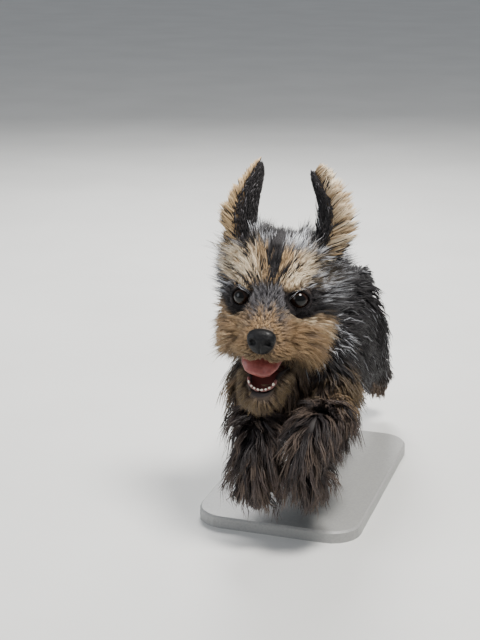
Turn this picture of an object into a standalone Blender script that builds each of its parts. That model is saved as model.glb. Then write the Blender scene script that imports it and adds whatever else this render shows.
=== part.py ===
"""Life-size still model of a young Yorkshire terrier in mid leap, carried on a plain display stand.

Metres, +Z up. The dog faces -Y and its left side is +X. The origin is the middle of the stand's underside.
The flesh forms are parted with thin cuts, and each node's coat is fused to it as flat, tapered locks.
"""

import math
import random
from collections import Counter

import bmesh
import bpy
from mathutils import Euler, Matrix, Vector
from mathutils.bvhtree import BVHTree

MM = 0.001
GAP = 0.3 * MM  # kept between touching nodes
CORE_SHARE = 0.42  # how far the fused core of a coat reaches towards the lock tips
SEED = 7
SAME_POINT = 0.0001 * MM
NUDGES = 8  # tries at a Boolean, each a small step from the last
NUDGE = Vector((0.004, -0.003, 0.005)) * MM

# The head's own frame: its origin is the middle of the brain case, -Y is forward and +Z is up.
SKULL_CENTRE = Vector((-4, -69, 156)) * MM
HEAD_YAW, HEAD_PITCH, HEAD_ROLL = (math.radians(a) for a in (7, -7, 3))
SKULL_HALF = Vector((27, 29, 27)) * MM
EYE_CENTRE = Vector((17.2, -17.5, 1.5)) * MM
EYE_RADIUS = 7.2 * MM
EYE_TURN = math.radians(20)  # each eye looks this far out from straight ahead
LID_THICKNESS = 1.5 * MM
EYE_OPENING = (5.9 * MM, 4.7 * MM)  # half width and half height of the gap between the lids
NOSE_CENTRE = Vector((0, -45.5, -21)) * MM
NOSE_HALF = Vector((8.6, 5.6, 7.4)) * MM
STOP = Vector((0, -27, 2)) * MM  # the dip between the eyes, which the head's coat fans out from
EAR_ROOT = Vector((20, 8, 20)) * MM
EAR_HALF_WIDTH = 11.5 * MM
EAR_THICKNESS = 2.4 * MM
EAR_TURN = math.radians(120)  # the opening turns this far outwards from straight ahead
EAR_BOW = (math.radians(95), math.radians(45))  # half of the arc that the leaf bends through, at its root and tip
EARS = {"left": (60, 57, 55), "right": (62, 41, 37)}  # length, how far a leaf leans out and how far its tip curls in
FRINGE_LENGTHS = {"left": (1.25, 0.9), "right": (0.9, 0.8)}  # share of a fringe lock's length, at the root and tip

# The stand.
BASE_LENGTH, BASE_WIDTH, BASE_HEIGHT = 0.180, 0.110, 0.008
BASE_CORNER = 0.020
ROD_RADIUS = 0.003
ROD_PLACES = {"stand_rod_front": -0.016, "stand_rod_rear": 0.052}
ROD_TOPS = {"stand_rod_front": 0.080, "stand_rod_rear": 0.094}

SHARP = math.radians(50)  # edges that bend further than this stay crisp

# Colour, roughness and metallic value.
MATERIALS = {
    "black_coat": ((0.020, 0.019, 0.021), 0.55, 0.0),
    "brown_coat": ((0.10, 0.070, 0.052), 0.60, 0.0),
    "tan_coat": ((0.42, 0.27, 0.14), 0.60, 0.0),
    "dark_eye": ((0.012, 0.008, 0.006), 0.06, 0.0),
    "nose_leather": ((0.012, 0.012, 0.014), 0.35, 0.0),
    "mouth_flesh": ((0.62, 0.20, 0.19), 0.35, 0.0),
    "milk_teeth": ((0.86, 0.83, 0.74), 0.30, 0.0),
    "base_paint": ((0.30, 0.30, 0.29), 0.45, 0.0),
    "brushed_steel": ((0.60, 0.60, 0.60), 0.32, 1.0),
}
MATERIAL_OF = {
    "torso": "black_coat", "neck": "black_coat", "tail": "black_coat", "ear": "black_coat",
    "head": "tan_coat", "jaw": "tan_coat", "upper_foreleg": "brown_coat", "paw_foreleg": "brown_coat",
    "thigh_hind_leg": "brown_coat", "shank_hind_leg": "tan_coat", "paw_hind_leg": "tan_coat",
    "eye": "dark_eye", "nose": "nose_leather", "tongue": "mouth_flesh",
    "teeth_upper": "milk_teeth", "teeth_lower": "milk_teeth",
    "stand_base": "base_paint", "stand_rod_front": "brushed_steel", "stand_rod_rear": "brushed_steel",
}


def clear_scene():
    for obj in list(bpy.data.objects):
        bpy.data.objects.remove(obj)


def collection(name):
    made = bpy.data.collections.new(name)
    bpy.context.scene.collection.children.link(made)
    return made


def material(name, colour, roughness, metallic=0.0):
    made = bpy.data.materials.new(name)
    made.use_nodes = True
    shader = made.node_tree.nodes["Principled BSDF"]
    shader.inputs["Base Color"].default_value = (*colour, 1)
    shader.inputs["Roughness"].default_value = roughness
    shader.inputs["Metallic"].default_value = metallic
    return made


def object_from(name, bm, into):
    """A new object in a collection, from a bmesh, which is freed."""
    bmesh.ops.recalc_face_normals(bm, faces=bm.faces)
    mesh = bpy.data.meshes.new(name)
    bm.to_mesh(mesh)
    bm.free()
    obj = bpy.data.objects.new(name, mesh)
    into.objects.link(obj)
    return obj


def apply_modifiers(obj):
    """Puts the evaluated mesh in the place of the object's own and drops its modifiers."""
    bpy.context.view_layer.update()
    graph = bpy.context.evaluated_depsgraph_get()
    mesh = bpy.data.meshes.new_from_object(obj.evaluated_get(graph))
    obj.modifiers.clear()
    obj.data = mesh
    return obj


def part_doubled_edges(bm):
    """Where four triangles share an edge, gives two that lie in one plane a point of their own on it, a little in."""
    for edge in [e for e in bm.edges if len(e.link_faces) > 2]:
        start, end = edge.verts
        onwards = {loop.face: loop.vert is start for loop in edge.link_loops}
        pairs = [
            (one, other) for one in onwards for other in onwards
            if onwards[one] and not onwards[other] and one.normal.dot(other.normal) > 0.9999
        ]
        if not pairs:
            continue
        one, other = pairs[0]
        middle = bm.verts.new((start.co + end.co) / 2 - one.normal * 20 * SAME_POINT)
        c = next(v for v in one.verts if v not in edge.verts)
        d = next(v for v in other.verts if v not in edge.verts)
        bmesh.ops.delete(bm, geom=[one, other], context="FACES_ONLY")
        for corner in ((start, middle, c), (middle, end, c), (end, middle, d), (middle, start, d)):
            bm.faces.new(corner).normal_update()


def triangulated(mesh):
    """Splits a mesh into triangles. False where it then touches itself along an edge, as near points are made one."""
    bm = bmesh.new()
    bm.from_mesh(mesh)
    bmesh.ops.triangulate(bm, faces=bm.faces)
    part_doubled_edges(bm)
    bm.to_mesh(mesh)
    bm.free()
    places, sides = {}, Counter()
    index = [places.setdefault(tuple(round(c / SAME_POINT) for c in v.co), len(places)) for v in mesh.vertices]
    for face in mesh.polygons:
        corners = [index[i] for i in face.vertices]
        if len(set(corners)) == 3:
            sides.update(tuple(sorted((corners[k], corners[k - 1]))) for k in range(3))
    return all(count == 2 for count in sides.values())


def boolean(obj, operation, others):
    """One Boolean on a collection of closed mesh objects, which are then removed.

    Where the result touches itself along an edge, each of the others is nudged a little and it is made again.
    """
    if not others:
        return obj
    group = collection(obj.name + "_" + operation.lower())
    for other in others:
        for holder in list(other.users_collection):
            holder.objects.unlink(other)
        group.objects.link(other)
    before = obj.data.copy()
    for _ in range(NUDGES):
        obj.data = before.copy()
        modifier = obj.modifiers.new(operation, "BOOLEAN")
        modifier.operation = operation
        modifier.operand_type = "COLLECTION"
        modifier.collection = group
        modifier.solver = "MANIFOLD"  # the exact solver is slow on this many locks
        apply_modifiers(obj)
        if triangulated(obj.data):
            break
        for i, other in enumerate(group.objects):
            other.data.transform(Matrix.Translation(NUDGE * (1 + i % 7)))
    for other in list(group.objects):
        bpy.data.objects.remove(other)
    bpy.data.collections.remove(group)
    return obj


def keep_largest(obj):
    """Leaves only the largest closed surface, so that loose scraps and sealed hollows go."""
    bm = bmesh.new()
    bm.from_mesh(obj.data)
    bmesh.ops.triangulate(bm, faces=bm.faces)
    unseen, shells = set(bm.verts), []
    while unseen:
        shell, front = set(), [unseen.pop()]
        while front:
            vert = front.pop()
            shell.add(vert)
            near = [edge.other_vert(vert) for edge in vert.link_edges]
            fresh = [v for v in near if v in unseen]
            unseen.difference_update(fresh)
            front.extend(fresh)
        shells.append(shell)

    def volume(shell):
        faces = {face for vert in shell for face in vert.link_faces}
        return sum(f.verts[0].co.dot(f.verts[1].co.cross(f.verts[2].co)) for f in faces) / 6

    best = max(shells, key=volume)
    for shell in shells:
        if shell is not best:
            bmesh.ops.delete(bm, geom=list(shell), context="VERTS")
    bm.to_mesh(obj.data)
    bm.free()
    return obj


def smooth_between(values, steps):
    """Catmull-Rom points through a list of tuples of numbers, with the given steps to a span."""
    made = []
    for i in range(len(values) - 1):
        p0, p1 = values[max(i - 1, 0)], values[i]
        p2, p3 = values[i + 1], values[min(i + 2, len(values) - 1)]
        for k in range(steps):
            t = k / steps
            made.append(tuple(
                0.5 * (2 * b + (c - a) * t + (2 * a - 5 * b + 4 * c - d) * t**2 + (3 * b - a - 3 * c + d) * t**3)
                for a, b, c, d in zip(p0, p1, p2, p3)
            ))
    return made + [tuple(values[-1])]


def add_tube(bm, stations, sides=16, steps=4):
    """A closed tube with round ends. A station is x, y, z, half width and half height, in millimetres."""
    rows = [tuple(v * MM for v in row) for row in smooth_between(stations, steps)]
    centres = [Vector(row[:3]) for row in rows]
    rings = []
    for i, row in enumerate(rows):
        along = (centres[min(i + 1, len(rows) - 1)] - centres[max(i - 1, 0)]).normalized()
        side = (Vector((1, 0, 0)) - along * along.x).normalized()
        up = along.cross(side)
        turns = [(0.0, 1.0)]
        if i == 0:
            turns = [(-math.sin(math.radians(a)), math.cos(math.radians(a))) for a in (70, 40, 0)]
        elif i == len(rows) - 1:
            turns = [(math.sin(math.radians(a)), math.cos(math.radians(a))) for a in (0, 40, 70)]
        reach = min(row[3], row[4])
        for shift, share in turns:
            middle = centres[i] + along * shift * reach
            angles = [2 * math.pi * k / sides for k in range(sides)]
            rings.append([
                bm.verts.new(middle + share * (side * row[3] * math.cos(a) + up * row[4] * math.sin(a)))
                for a in angles
            ])
    for lower, upper in zip(rings, rings[1:]):
        for k in range(sides):
            bm.faces.new((lower[k], lower[(k + 1) % sides], upper[(k + 1) % sides], upper[k]))
    bm.faces.new(rings[0])
    bm.faces.new(rings[-1])


def add_ball(bm, centre, half, turn=0.0, fineness=3):
    """An ellipsoid with the given half sizes, turned about its own upright axis."""
    place = Matrix.Translation(centre) @ Matrix.Rotation(turn, 4, "Z") @ Matrix.Diagonal((*half, 1))
    bmesh.ops.create_icosphere(bm, subdivisions=fineness, radius=1, matrix=place)


def add_globe(bm, centre, half, pole, segments=14, rings=9):
    """An ellipsoid with its poles along a direction; its half sizes are across, upwards and along that direction."""
    place = Matrix.Translation(centre) @ pole.to_track_quat("Z", "Y").to_matrix().to_4x4()
    bmesh.ops.create_uvsphere(
        bm, u_segments=segments, v_segments=rings, radius=1, matrix=place @ Matrix.Diagonal((*half, 1))
    )


def fused_form(name, bm, voxel, smoothing, triangles, into):
    """One soft closed form from overlapping tubes and balls, brought down to about a number of triangles."""
    obj = object_from(name, bm, into)
    remesh = obj.modifiers.new("fuse", "REMESH")
    remesh.mode = "VOXEL"
    remesh.voxel_size = voxel
    smooth = obj.modifiers.new("soften", "SMOOTH")
    smooth.factor = 0.5
    smooth.iterations = smoothing
    apply_modifiers(obj)
    obj.data.calc_loop_triangles()
    fewer = obj.modifiers.new("fewer", "DECIMATE")
    fewer.ratio = min(1.0, triangles / len(obj.data.loop_triangles))
    fewer.use_collapse_triangulate = True
    return apply_modifiers(obj)


def half_space(point, normal, into):
    """A large block that fills the side of a plane that the normal points to."""
    size = 0.4
    bm = bmesh.new()
    bmesh.ops.create_cube(bm, size=size)
    block = object_from("half_space", bm, into)
    block.matrix_world = (
        Matrix.Translation(Vector(point) + Vector(normal).normalized() * size / 2)
        @ Vector(normal).to_track_quat("Z", "Y").to_matrix().to_4x4()
    )
    return block


def copy_of(obj, name, into):
    made = bpy.data.objects.new(name, obj.data.copy())
    made.matrix_world = obj.matrix_world
    into.objects.link(made)
    return made


def parted(form, names, cuts, into):
    """Parts a form with thin plane cuts, each a point and a normal that points to the later nodes."""
    made = []
    for i, name in enumerate(names):
        piece = copy_of(form, name, into)
        blocks = []
        if i > 0:
            point, normal = cuts[i - 1]
            normal = Vector(normal).normalized()
            blocks.append(half_space(Vector(point) * MM + normal * GAP / 2, -normal, into))
        if i < len(cuts):
            point, normal = cuts[i]
            normal = Vector(normal).normalized()
            blocks.append(half_space(Vector(point) * MM - normal * GAP / 2, normal, into))
        made.append(keep_largest(boolean(piece, "DIFFERENCE", blocks)))
    bpy.data.objects.remove(form)
    return made


# Flesh stations: x, y, z, half width and half height in millimetres.
TRUNK = [
    (0, -54, 92, 15, 19),
    (0, -42, 95, 24, 28),
    (0, -12, 96, 32, 32),
    (0, 22, 99, 33, 30),
    (0, 52, 104, 28, 25),
    (0, 80, 107, 26, 25),
    (0, 98, 106, 17, 18),
]
TRUNK_COAT = 13
NECK = [
    (0, -22, 104, 26, 27),
    (-1, -38, 118, 23, 22),
    (-3, -50, 132, 20, 19),
    (-4, -60, 146, 18, 18),
]
NECK_COAT = 14
NECK_CUT = ((0, -40, 118), (-0.04, -0.72, 0.69))
TAIL = [(0, 92, 110, 8, 9), (0, 112, 114, 6.5, 6.5), (1, 132, 115, 5, 5), (2, 148, 113, 3, 3)]
TAIL_COAT = 9
TAIL_CUT = ((0, 103, 112.5), (0, 0.98, 0.18))


def foreleg(side, lift, swing):
    """Stations from the shoulder to the toes. The forearm points ahead and the paw hangs from the bent wrist."""
    return [
        (side * 19, -36, 98, 14, 17),
        (side * 24 + swing * 0.2, -48, 84, 12, 14),
        (side * 24.5 + swing * 0.45, -57, 69 + lift * 0.4, 9.5, 11),
        (side * 22 + swing * 0.8, -76, 67 + lift * 0.7, 7.6, 8),
        (side * 19 + swing, -94, 67 + lift, 6.6, 7),
        (side * 18 + swing, -101, 55 + lift, 6.4, 6.4),
        (side * 18 + swing, -100, 41 + lift, 8.2, 6.6),
        (side * 18 + swing, -97, 35 + lift, 7.5, 5.8),
    ]


def hind_leg(side):
    """Stations from the hip to the toes, stretched out behind as the leg pushes off."""
    return [
        (side * 14, 70, 108, 16, 22),
        (side * 18.5, 79, 90, 13, 19),
        (side * 19.5, 90, 73, 10, 13),
        (side * 18.5, 105, 64, 8, 9),
        (side * 17.5, 120, 57, 6.2, 7),
        (side * 17.5, 131, 45, 6, 6),
        (side * 17.5, 138, 35, 8, 6),
        (side * 17.5, 140, 29, 7.4, 5.4),
    ]


LEG_COAT = 9
FORELEG_CUTS = [(4, (0, -1, -0.35))]  # the station that a cut goes through, and its normal
HIND_LEG_CUTS = [(2, (0, 0.62, -0.78)), (4, (0, 0.6, -0.8))]
FORELEG_POSES = {"left": (13, 9), "right": (0, 10)}  # how far a paw is lifted, and swung towards +X
TOE_SPACING = 4.1
TOE_CURVE = 0.0875  # how far the outer toes lie behind the middle ones, for each squared millimetre across
SIDES = {"left": 1, "right": -1}


def coated(stations, depth):
    """Flesh stations out to the coat's core."""
    grown = depth * CORE_SHARE
    return [(*row[:3], row[3] + grown, row[4] + grown) for row in stations]


def head_frame():
    turn = (
        Matrix.Rotation(HEAD_YAW, 4, "Z")
        @ Matrix.Rotation(HEAD_PITCH, 4, "X")
        @ Matrix.Rotation(HEAD_ROLL, 4, "Y")
    )
    return Matrix.Translation(SKULL_CENTRE) @ turn


HEAD = head_frame()
JAW_HINGE = Vector((0, -4, -25)) * MM
JAW_ANGLE = math.radians(45)  # down from the head's own level; the roof of the mouth falls about 14 degrees
JAW = HEAD @ Matrix.Translation(JAW_HINGE) @ Matrix.Rotation(JAW_ANGLE, 4, "X")


def moved(obj, frame):
    obj.data.transform(frame)
    return obj


def gaze(side):
    return Vector((side * math.sin(EYE_TURN), -math.cos(EYE_TURN), 0.06)).normalized()


def eye_place(side):
    return Vector((side * EYE_CENTRE.x, EYE_CENTRE.y, EYE_CENTRE.z))


def globe_object(name, centre, half, pole, into, segments=14, rings=9):
    """A closed ellipsoid in the head's frame."""
    bm = bmesh.new()
    add_globe(bm, centre, half, pole, segments, rings)
    return moved(object_from(name, bm, into), HEAD)


def eyeball(name, side, into):
    return globe_object(name, eye_place(side), (EYE_RADIUS,) * 3, gaze(side), into)


def nose(into):
    """The leather pad, with two nostrils that turn outwards and the groove between them, and the plain pad."""
    bm = bmesh.new()
    add_globe(bm, NOSE_CENTRE, (NOSE_HALF.x, NOSE_HALF.z, NOSE_HALF.y), Vector((0, -1, 0)), 12, 9)
    for vert in bm.verts:  # broad on top, narrow below
        height = (vert.co.z - NOSE_CENTRE.z) / NOSE_HALF.z
        vert.co.x *= 1 + 0.16 * height
        vert.co.y += 1.2 * MM * max(0, -height)
    pad = moved(object_from("nose", bm, into), HEAD)
    front = NOSE_CENTRE.y - NOSE_HALF.y
    cutters = []
    for side in SIDES.values():
        nostril = Vector((side * 4.2 * MM, front + 1.4 * MM, NOSE_CENTRE.z + 0.3 * MM))
        outwards = Vector((side * 0.5, -1, 0)).normalized()
        cutters.append(globe_object("nostril", nostril, (2.6 * MM, 1.6 * MM, 2.4 * MM), outwards, into, 8, 6))
    groove = Vector((0, front + 0.5 * MM, NOSE_CENTRE.z - 4.5 * MM))
    cutters.append(globe_object("groove", groove, (0.55 * MM, 3.6 * MM, 1.8 * MM), Vector((0, -1, 0)), into, 8, 6))
    plain = copy_of(pad, "pad", into)
    return keep_largest(boolean(pad, "DIFFERENCE", cutters)), plain


def tooth(place, up, radius, height, into):
    bm = bmesh.new()
    frame = Matrix.Translation(place + up * height / 2) @ up.to_track_quat("Z", "Y").to_matrix().to_4x4()
    bmesh.ops.create_cone(
        bm, cap_ends=True, segments=5, radius1=radius, radius2=radius * 0.25, depth=height, matrix=frame
    )
    return object_from("tooth", bm, into)


def tooth_row(name, centre, radius, up, canine, incisor, frame, into):
    """A curved gum ridge with six incisors and two longer canines, fused, and the plain ridge."""
    def on_arc(degrees):
        a = math.radians(degrees)
        return Vector((centre[0] + radius * math.sin(a), centre[1] - radius * math.cos(a), centre[2])) * MM

    sides, thickness = 6, 1.4 * MM
    bm = bmesh.new()
    rings = []
    for degrees in range(-76, 77, 19):
        a = math.radians(degrees)
        outward, upward = Vector((math.sin(a), -math.cos(a), 0)), Vector((0, 0, 1))
        turns = [2 * math.pi * (k + 0.5) / sides for k in range(sides)]
        rings.append([
            bm.verts.new(on_arc(degrees) + thickness * (outward * math.cos(t) + upward * math.sin(t))) for t in turns
        ])
    for lower, upper in zip(rings, rings[1:]):
        for k in range(sides):
            bm.faces.new((lower[k], lower[(k + 1) % sides], upper[(k + 1) % sides], upper[k]))
    bm.faces.new(rings[0])
    bm.faces.new(rings[-1])
    ridge = object_from(name, bm, into)
    plain = moved(copy_of(ridge, "ridge", into), frame)
    teeth = [tooth(on_arc(-40 + 16 * k), up, 1.05 * MM, incisor, into) for k in range(6)]
    for side in SIDES.values():
        splay = (up + Vector((0.12 * side, -0.1, 0))).normalized()
        teeth.append(tooth(on_arc(62 * side), splay, 1.3 * MM, canine, into))
    return moved(boolean(ridge, "UNION", teeth), frame), plain


def tongue(into):
    bm = bmesh.new()
    add_tube(bm, [
        (0, -6, 3, 8.5, 3.5),
        (0, -18, 4.5, 8.2, 2.8),
        (-0.5, -28, 6.5, 7.4, 2.1),
        (-1, -35, 9, 5.4, 1.6),
    ], sides=10, steps=2)
    return moved(object_from("tongue", bm, into), JAW)


def ear(name, side, length, out, inward, into):
    """A cupped leaf that leans out and curls inwards, its opening turned outwards and a little back.

    Returns the leaf, and its outer margin as points with directions for the fringe.
    """
    across, along = 6, 7
    turn_out = Matrix.Rotation(side * EAR_TURN, 4, "Z")
    frame = HEAD @ Matrix.Translation((side * EAR_ROOT.x, EAR_ROOT.y, EAR_ROOT.z))

    def placed(point, v):
        bent = turn_out @ point
        bent.x += side * (out * v - inward * v * v) * MM
        return frame @ bent

    bm = bmesh.new()
    rows, margin = [], []
    for j in range(along + 1):
        v = j / along
        width = EAR_HALF_WIDTH * (0.66 + 0.34 * math.sin(math.pi * min(v / 0.62, 1) / 2)) * (1 - v**4) ** 0.7
        width = max(width, 1.6 * MM)
        bow = EAR_BOW[0] * (1 - v) + EAR_BOW[1] * v
        radius = width / math.sin(min(bow, math.pi / 2))
        middle = Vector((0, 5 * v * v, length * v)) * MM

        def on_arc(turn):
            return placed(middle + radius * Vector((math.sin(turn), math.cos(turn), 0)), v)

        rows.append([bm.verts.new(on_arc(bow * (2 * i / across - 1))) for i in range(across + 1)])
        outer = -side
        margin.append((on_arc(outer * bow), (on_arc(outer * (bow + 0.2)) - on_arc(outer * bow)).normalized()))
    for lower, upper in zip(rows, rows[1:]):
        for i in range(across):
            bm.faces.new((lower[i], lower[i + 1], upper[i + 1], upper[i]))
    leaf = object_from(name, bm, into)
    shell = leaf.modifiers.new("thickness", "SOLIDIFY")
    shell.thickness = EAR_THICKNESS
    shell.offset = 0
    apply_modifiers(leaf)
    return leaf, margin


def jaw(into):
    """The lower jaw, hollowed between its lips for the floor of the mouth, and its form before that."""
    bm = bmesh.new()
    add_tube(bm, [
        (0, -1, -1, 15, 8.5),
        (0, -16, -1, 12.5, 7.2),
        (0, -29, -1, 10.6, 6),
        (0, -39, -0.5, 8.6, 5),
        (0, -43, 0, 6, 3.8),
    ])
    form = fused_form("jaw", bm, 1.0 * MM, 3, 230, into)
    moved(form, JAW)
    bm = bmesh.new()
    add_tube(bm, [(0, -4, 8, 9, 6), (0, -18, 6.5, 8.4, 5.2), (0, -30, 5.4, 7.2, 4.4), (0, -36.5, 5, 5.4, 3.6)], 10, 2)
    floor = moved(object_from("mouth_floor", bm, into), JAW)
    plain = copy_of(form, "jaw_form", into)
    return keep_largest(boolean(form, "DIFFERENCE", [floor])), plain


def head_core(into):
    """Brain case, brow, cheeks and muzzle as one form with lids round the eyes, and that form without them."""
    bm = bmesh.new()
    depth = 4.5 * MM
    crown = Vector((0, 0.6 * depth, 2 * MM + 0.6 * depth))  # the coat is deepest above and behind
    add_ball(bm, crown, [v + depth for v in SKULL_HALF])
    for side in SIDES.values():
        add_ball(bm, Vector((side * 15, -12, -13)) * MM, Vector((11, 15, 11)) * MM)
        add_ball(bm, Vector((side * 11, -24, 8)) * MM, Vector((7.5, 5, 4)) * MM, turn=side * 0.5)
    add_tube(bm, [
        (0, -10, -9, 21, 19),
        (0, -24, -14, 14.5, 13.5),
        (0, -34, -19, 11.8, 10.4),
        (0, -42, -21.5, 10, 8.6),
    ])
    form = fused_form("head", bm, 1.3 * MM, 4, 760, into)
    moved(form, HEAD)
    plain = copy_of(form, "head_form", into)
    lid = (EYE_RADIUS + LID_THICKNESS,) * 3
    boolean(form, "UNION", [globe_object("lid", eye_place(s), lid, gaze(s), into) for s in SIDES.values()])
    openings = []
    for side in SIDES.values():
        middle = eye_place(side) + gaze(side) * (EYE_RADIUS + 1.5 * MM)
        openings.append(globe_object("opening", middle, (*EYE_OPENING, 4.5 * MM), gaze(side), into, 12, 8))
    bm = bmesh.new()  # the roof of the mouth, hollowed between the upper lips
    add_tube(bm, [(0, -12, -38, 12, 7), (0, -24, -35, 10.5, 6), (0, -36, -34, 7.6, 4.6)], 10, 2)
    openings.append(moved(object_from("palate", bm, into), HEAD))
    return keep_largest(boolean(form, "DIFFERENCE", openings)), plain


def limb(name, stations, cuts, parts, toes_ahead, triangles, into):
    """A leg as one form with four toes, parted with thin cuts."""
    bm = bmesh.new()
    add_tube(bm, coated(stations[:-2], LEG_COAT) + [
        (*row[:3], row[3] + 1.5, row[4] + 1.5) for row in stations[-2:]
    ])
    end = Vector(stations[-1][:3])
    ahead = (end - Vector(stations[-2][:3])).normalized()
    for k in range(4):
        across = (k - 1.5) * TOE_SPACING
        middle = end + Vector((across, toes_ahead, 0)) + ahead * (3.4 - TOE_CURVE * across * across)
        add_ball(bm, middle * MM, Vector((3.1, 3.6, 3.8)) * MM)
    form = fused_form(f"{name}_form", bm, 1.3 * MM, 3, triangles, into)
    planes = [(stations[i][:3], normal) for i, normal in cuts]
    return parted(form, [f"{part}_{name}" for part in parts], planes, into)


SINK = 2.2 * MM  # how deep a lock's root sits in its core
LOCK_RINGS = ((0.0, 0.85), (0.4, 1.0), (0.75, 0.7))  # share of the length, and of the full width
MARCH = 12  # small steps along a lock
SHORTEST = 5  # steps that a lock needs before another node's coat ends it
CLEARANCE = 1.8 * MM  # kept between a lock and another node's coat
PROBE = Vector((0.13, 0.21, 0.97))  # the way to look for a mesh's walls


def trees(objects):
    """A search tree of closed meshes in world space."""
    verts, faces = [], []
    for obj in objects:
        first = len(verts)
        verts += [obj.matrix_world @ v.co for v in obj.data.vertices]
        faces += [[first + i for i in face.vertices] for face in obj.data.polygons]
    return BVHTree.FromPolygons(verts, faces)


def lock_path(root, normal, lie, length, width, rise, skin, around, taken, turn):
    """Walks a lock over the skin: it leaves its root at a slant, keeps clear of the body and falls free past it.

    It ends early where it comes near what is taken by another node's coat.
    """
    point, step = root.copy(), length / MARCH
    track = [(root - normal * SINK, normal)]
    for k in range(1, MARCH + 1):
        heading = Matrix.Rotation(turn, 3, normal) @ lie(point, normal).normalized()
        inwards = heading.dot(normal)
        if inwards < 0:
            heading = (heading - normal * inwards).normalized()
        point = point + heading * step
        near, face_normal, _, distance = skin.find_nearest(point)
        height = rise * math.sin(math.pi / 2 * min(1, 1.25 * k / MARCH))
        inside = (point - near).dot(face_normal) < 0
        if around.find_nearest(point)[3] < height + CLEARANCE:
            height = max(height, 2 * CLEARANCE)
        if inside or distance < height:
            outwards = face_normal if inside or distance < 0.3 * MM else (point - near).normalized()
            point = near + outwards * height
            normal = (normal + outwards).normalized()
        edge = heading.cross(normal).normalized() * 0.4 * width
        if min(taken.find_nearest(point + offset)[3] for offset in (edge, -edge, Vector())) < CLEARANCE:
            break
        track.append((point.copy(), normal.copy()))
    for _ in range(2):
        middles = [(a[0] + 2 * b[0] + c[0]) / 4 for a, b, c in zip(track, track[1:], track[2:])]
        track[1:-1] = [(middle, row[1]) for middle, row in zip(middles, track[1:-1])]
    return track


def bends_hard(track):
    """True where a lock would fold on itself."""
    legs = [(track[k + 3][0] - track[k][0]).normalized() for k in range(len(track) - 3)]
    return any(legs[k].dot(legs[k + 3]) < 0.45 for k in range(len(legs) - 3)) or legs[0].dot(legs[-1]) < -0.2


def add_lock(track, width, thickness, into, beyond=0.0):
    """A flat, tapered lock: rings with a low ridge along its track, which it may reach beyond at both ends."""
    bm = bmesh.new()
    rings = []
    last = len(track) - 1
    for share, breadth in LOCK_RINGS:
        k = round(share * last)
        centre, normal = track[k]
        ahead = (track[min(k + 2, last)][0] - track[max(k - 2, 0)][0]).normalized()
        across = ahead.cross(normal).normalized()
        half = across * width * breadth / 2
        rise = across.cross(ahead) * thickness * breadth**0.5
        if not rings:
            centre = centre - ahead * beyond
        rings.append([bm.verts.new(centre + offset) for offset in (half - rise / 3, rise * 2 / 3, -half - rise / 3)])
    tip = bm.verts.new(track[-1][0] + ahead * beyond)
    for lower, upper in zip(rings, rings[1:]):
        for k in range(3):
            bm.faces.new((lower[k], lower[(k + 1) % 3], upper[(k + 1) % 3], upper[k]))
    for k in range(3):
        bm.faces.new((rings[-1][k], rings[-1][(k + 1) % 3], tip))
    bm.faces.new(rings[0])
    bmesh.ops.triangulate(bm, faces=bm.faces)
    return object_from("lock", bm, into)


LIE_SPACING = 2.2  # roots stand this many times as far apart along the lie as across it


def spread_roots(obj, count, allowed, lie, rng):
    """Evenly spread points on a mesh with their normals: the farthest of many random ones, time after time."""
    mesh = obj.data
    mesh.calc_loop_triangles()
    triangles = [[mesh.vertices[i].co for i in t.vertices] for t in mesh.loop_triangles]
    normals = [t.normal.copy() for t in mesh.loop_triangles]
    areas = [t.area for t in mesh.loop_triangles]
    pool = []
    while len(pool) < 14 * count:
        index = rng.choices(range(len(areas)), areas)[0]
        a, b = sorted((rng.random(), rng.random()))
        corner = triangles[index]
        point = corner[0] * a + corner[1] * (b - a) + corner[2] * (1 - b)
        pool.append((point, normals[index]))
    pool = [row for row in pool if allowed(*row)]
    chosen = [pool[0]]
    gaps = [math.inf] * len(pool)
    squeeze = 1 - LIE_SPACING**-2
    while len(chosen) < min(count, len(pool)):
        last, normal = chosen[-1]
        along = lie(last, normal)
        along = (along - normal * along.dot(normal)).normalized()
        for i, (point, _) in enumerate(pool):
            apart = point - last
            gaps[i] = min(gaps[i], apart.length_squared - squeeze * apart.dot(along) ** 2)
        chosen.append(pool[gaps.index(max(gaps))])
    return chosen


def stands_off(tree, point, distance):
    """True for a point outside a closed mesh and further from it than a distance."""
    if tree.find_nearest(point)[3] < distance:
        return False
    crossings = 0
    while point is not None:
        point = tree.ray_cast(point + PROBE * 0.01 * MM, PROBE)[0]
        crossings += point is not None
    return crossings % 2 == 0


def cleared(track, width, thickness, obstacles, into):
    """Shortens a lock until a wider form of it meets no obstacle. Returns an empty track where none is left."""
    while len(track) > SHORTEST:
        wider = add_lock(track, width + 3 * GAP, thickness + 3 * GAP, into, 2 * GAP)
        form = trees([wider])
        bpy.data.objects.remove(wider)
        if not any(form.overlap(obstacle) for obstacle in obstacles):
            return track
        track = track[:-1]
    return []


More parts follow.
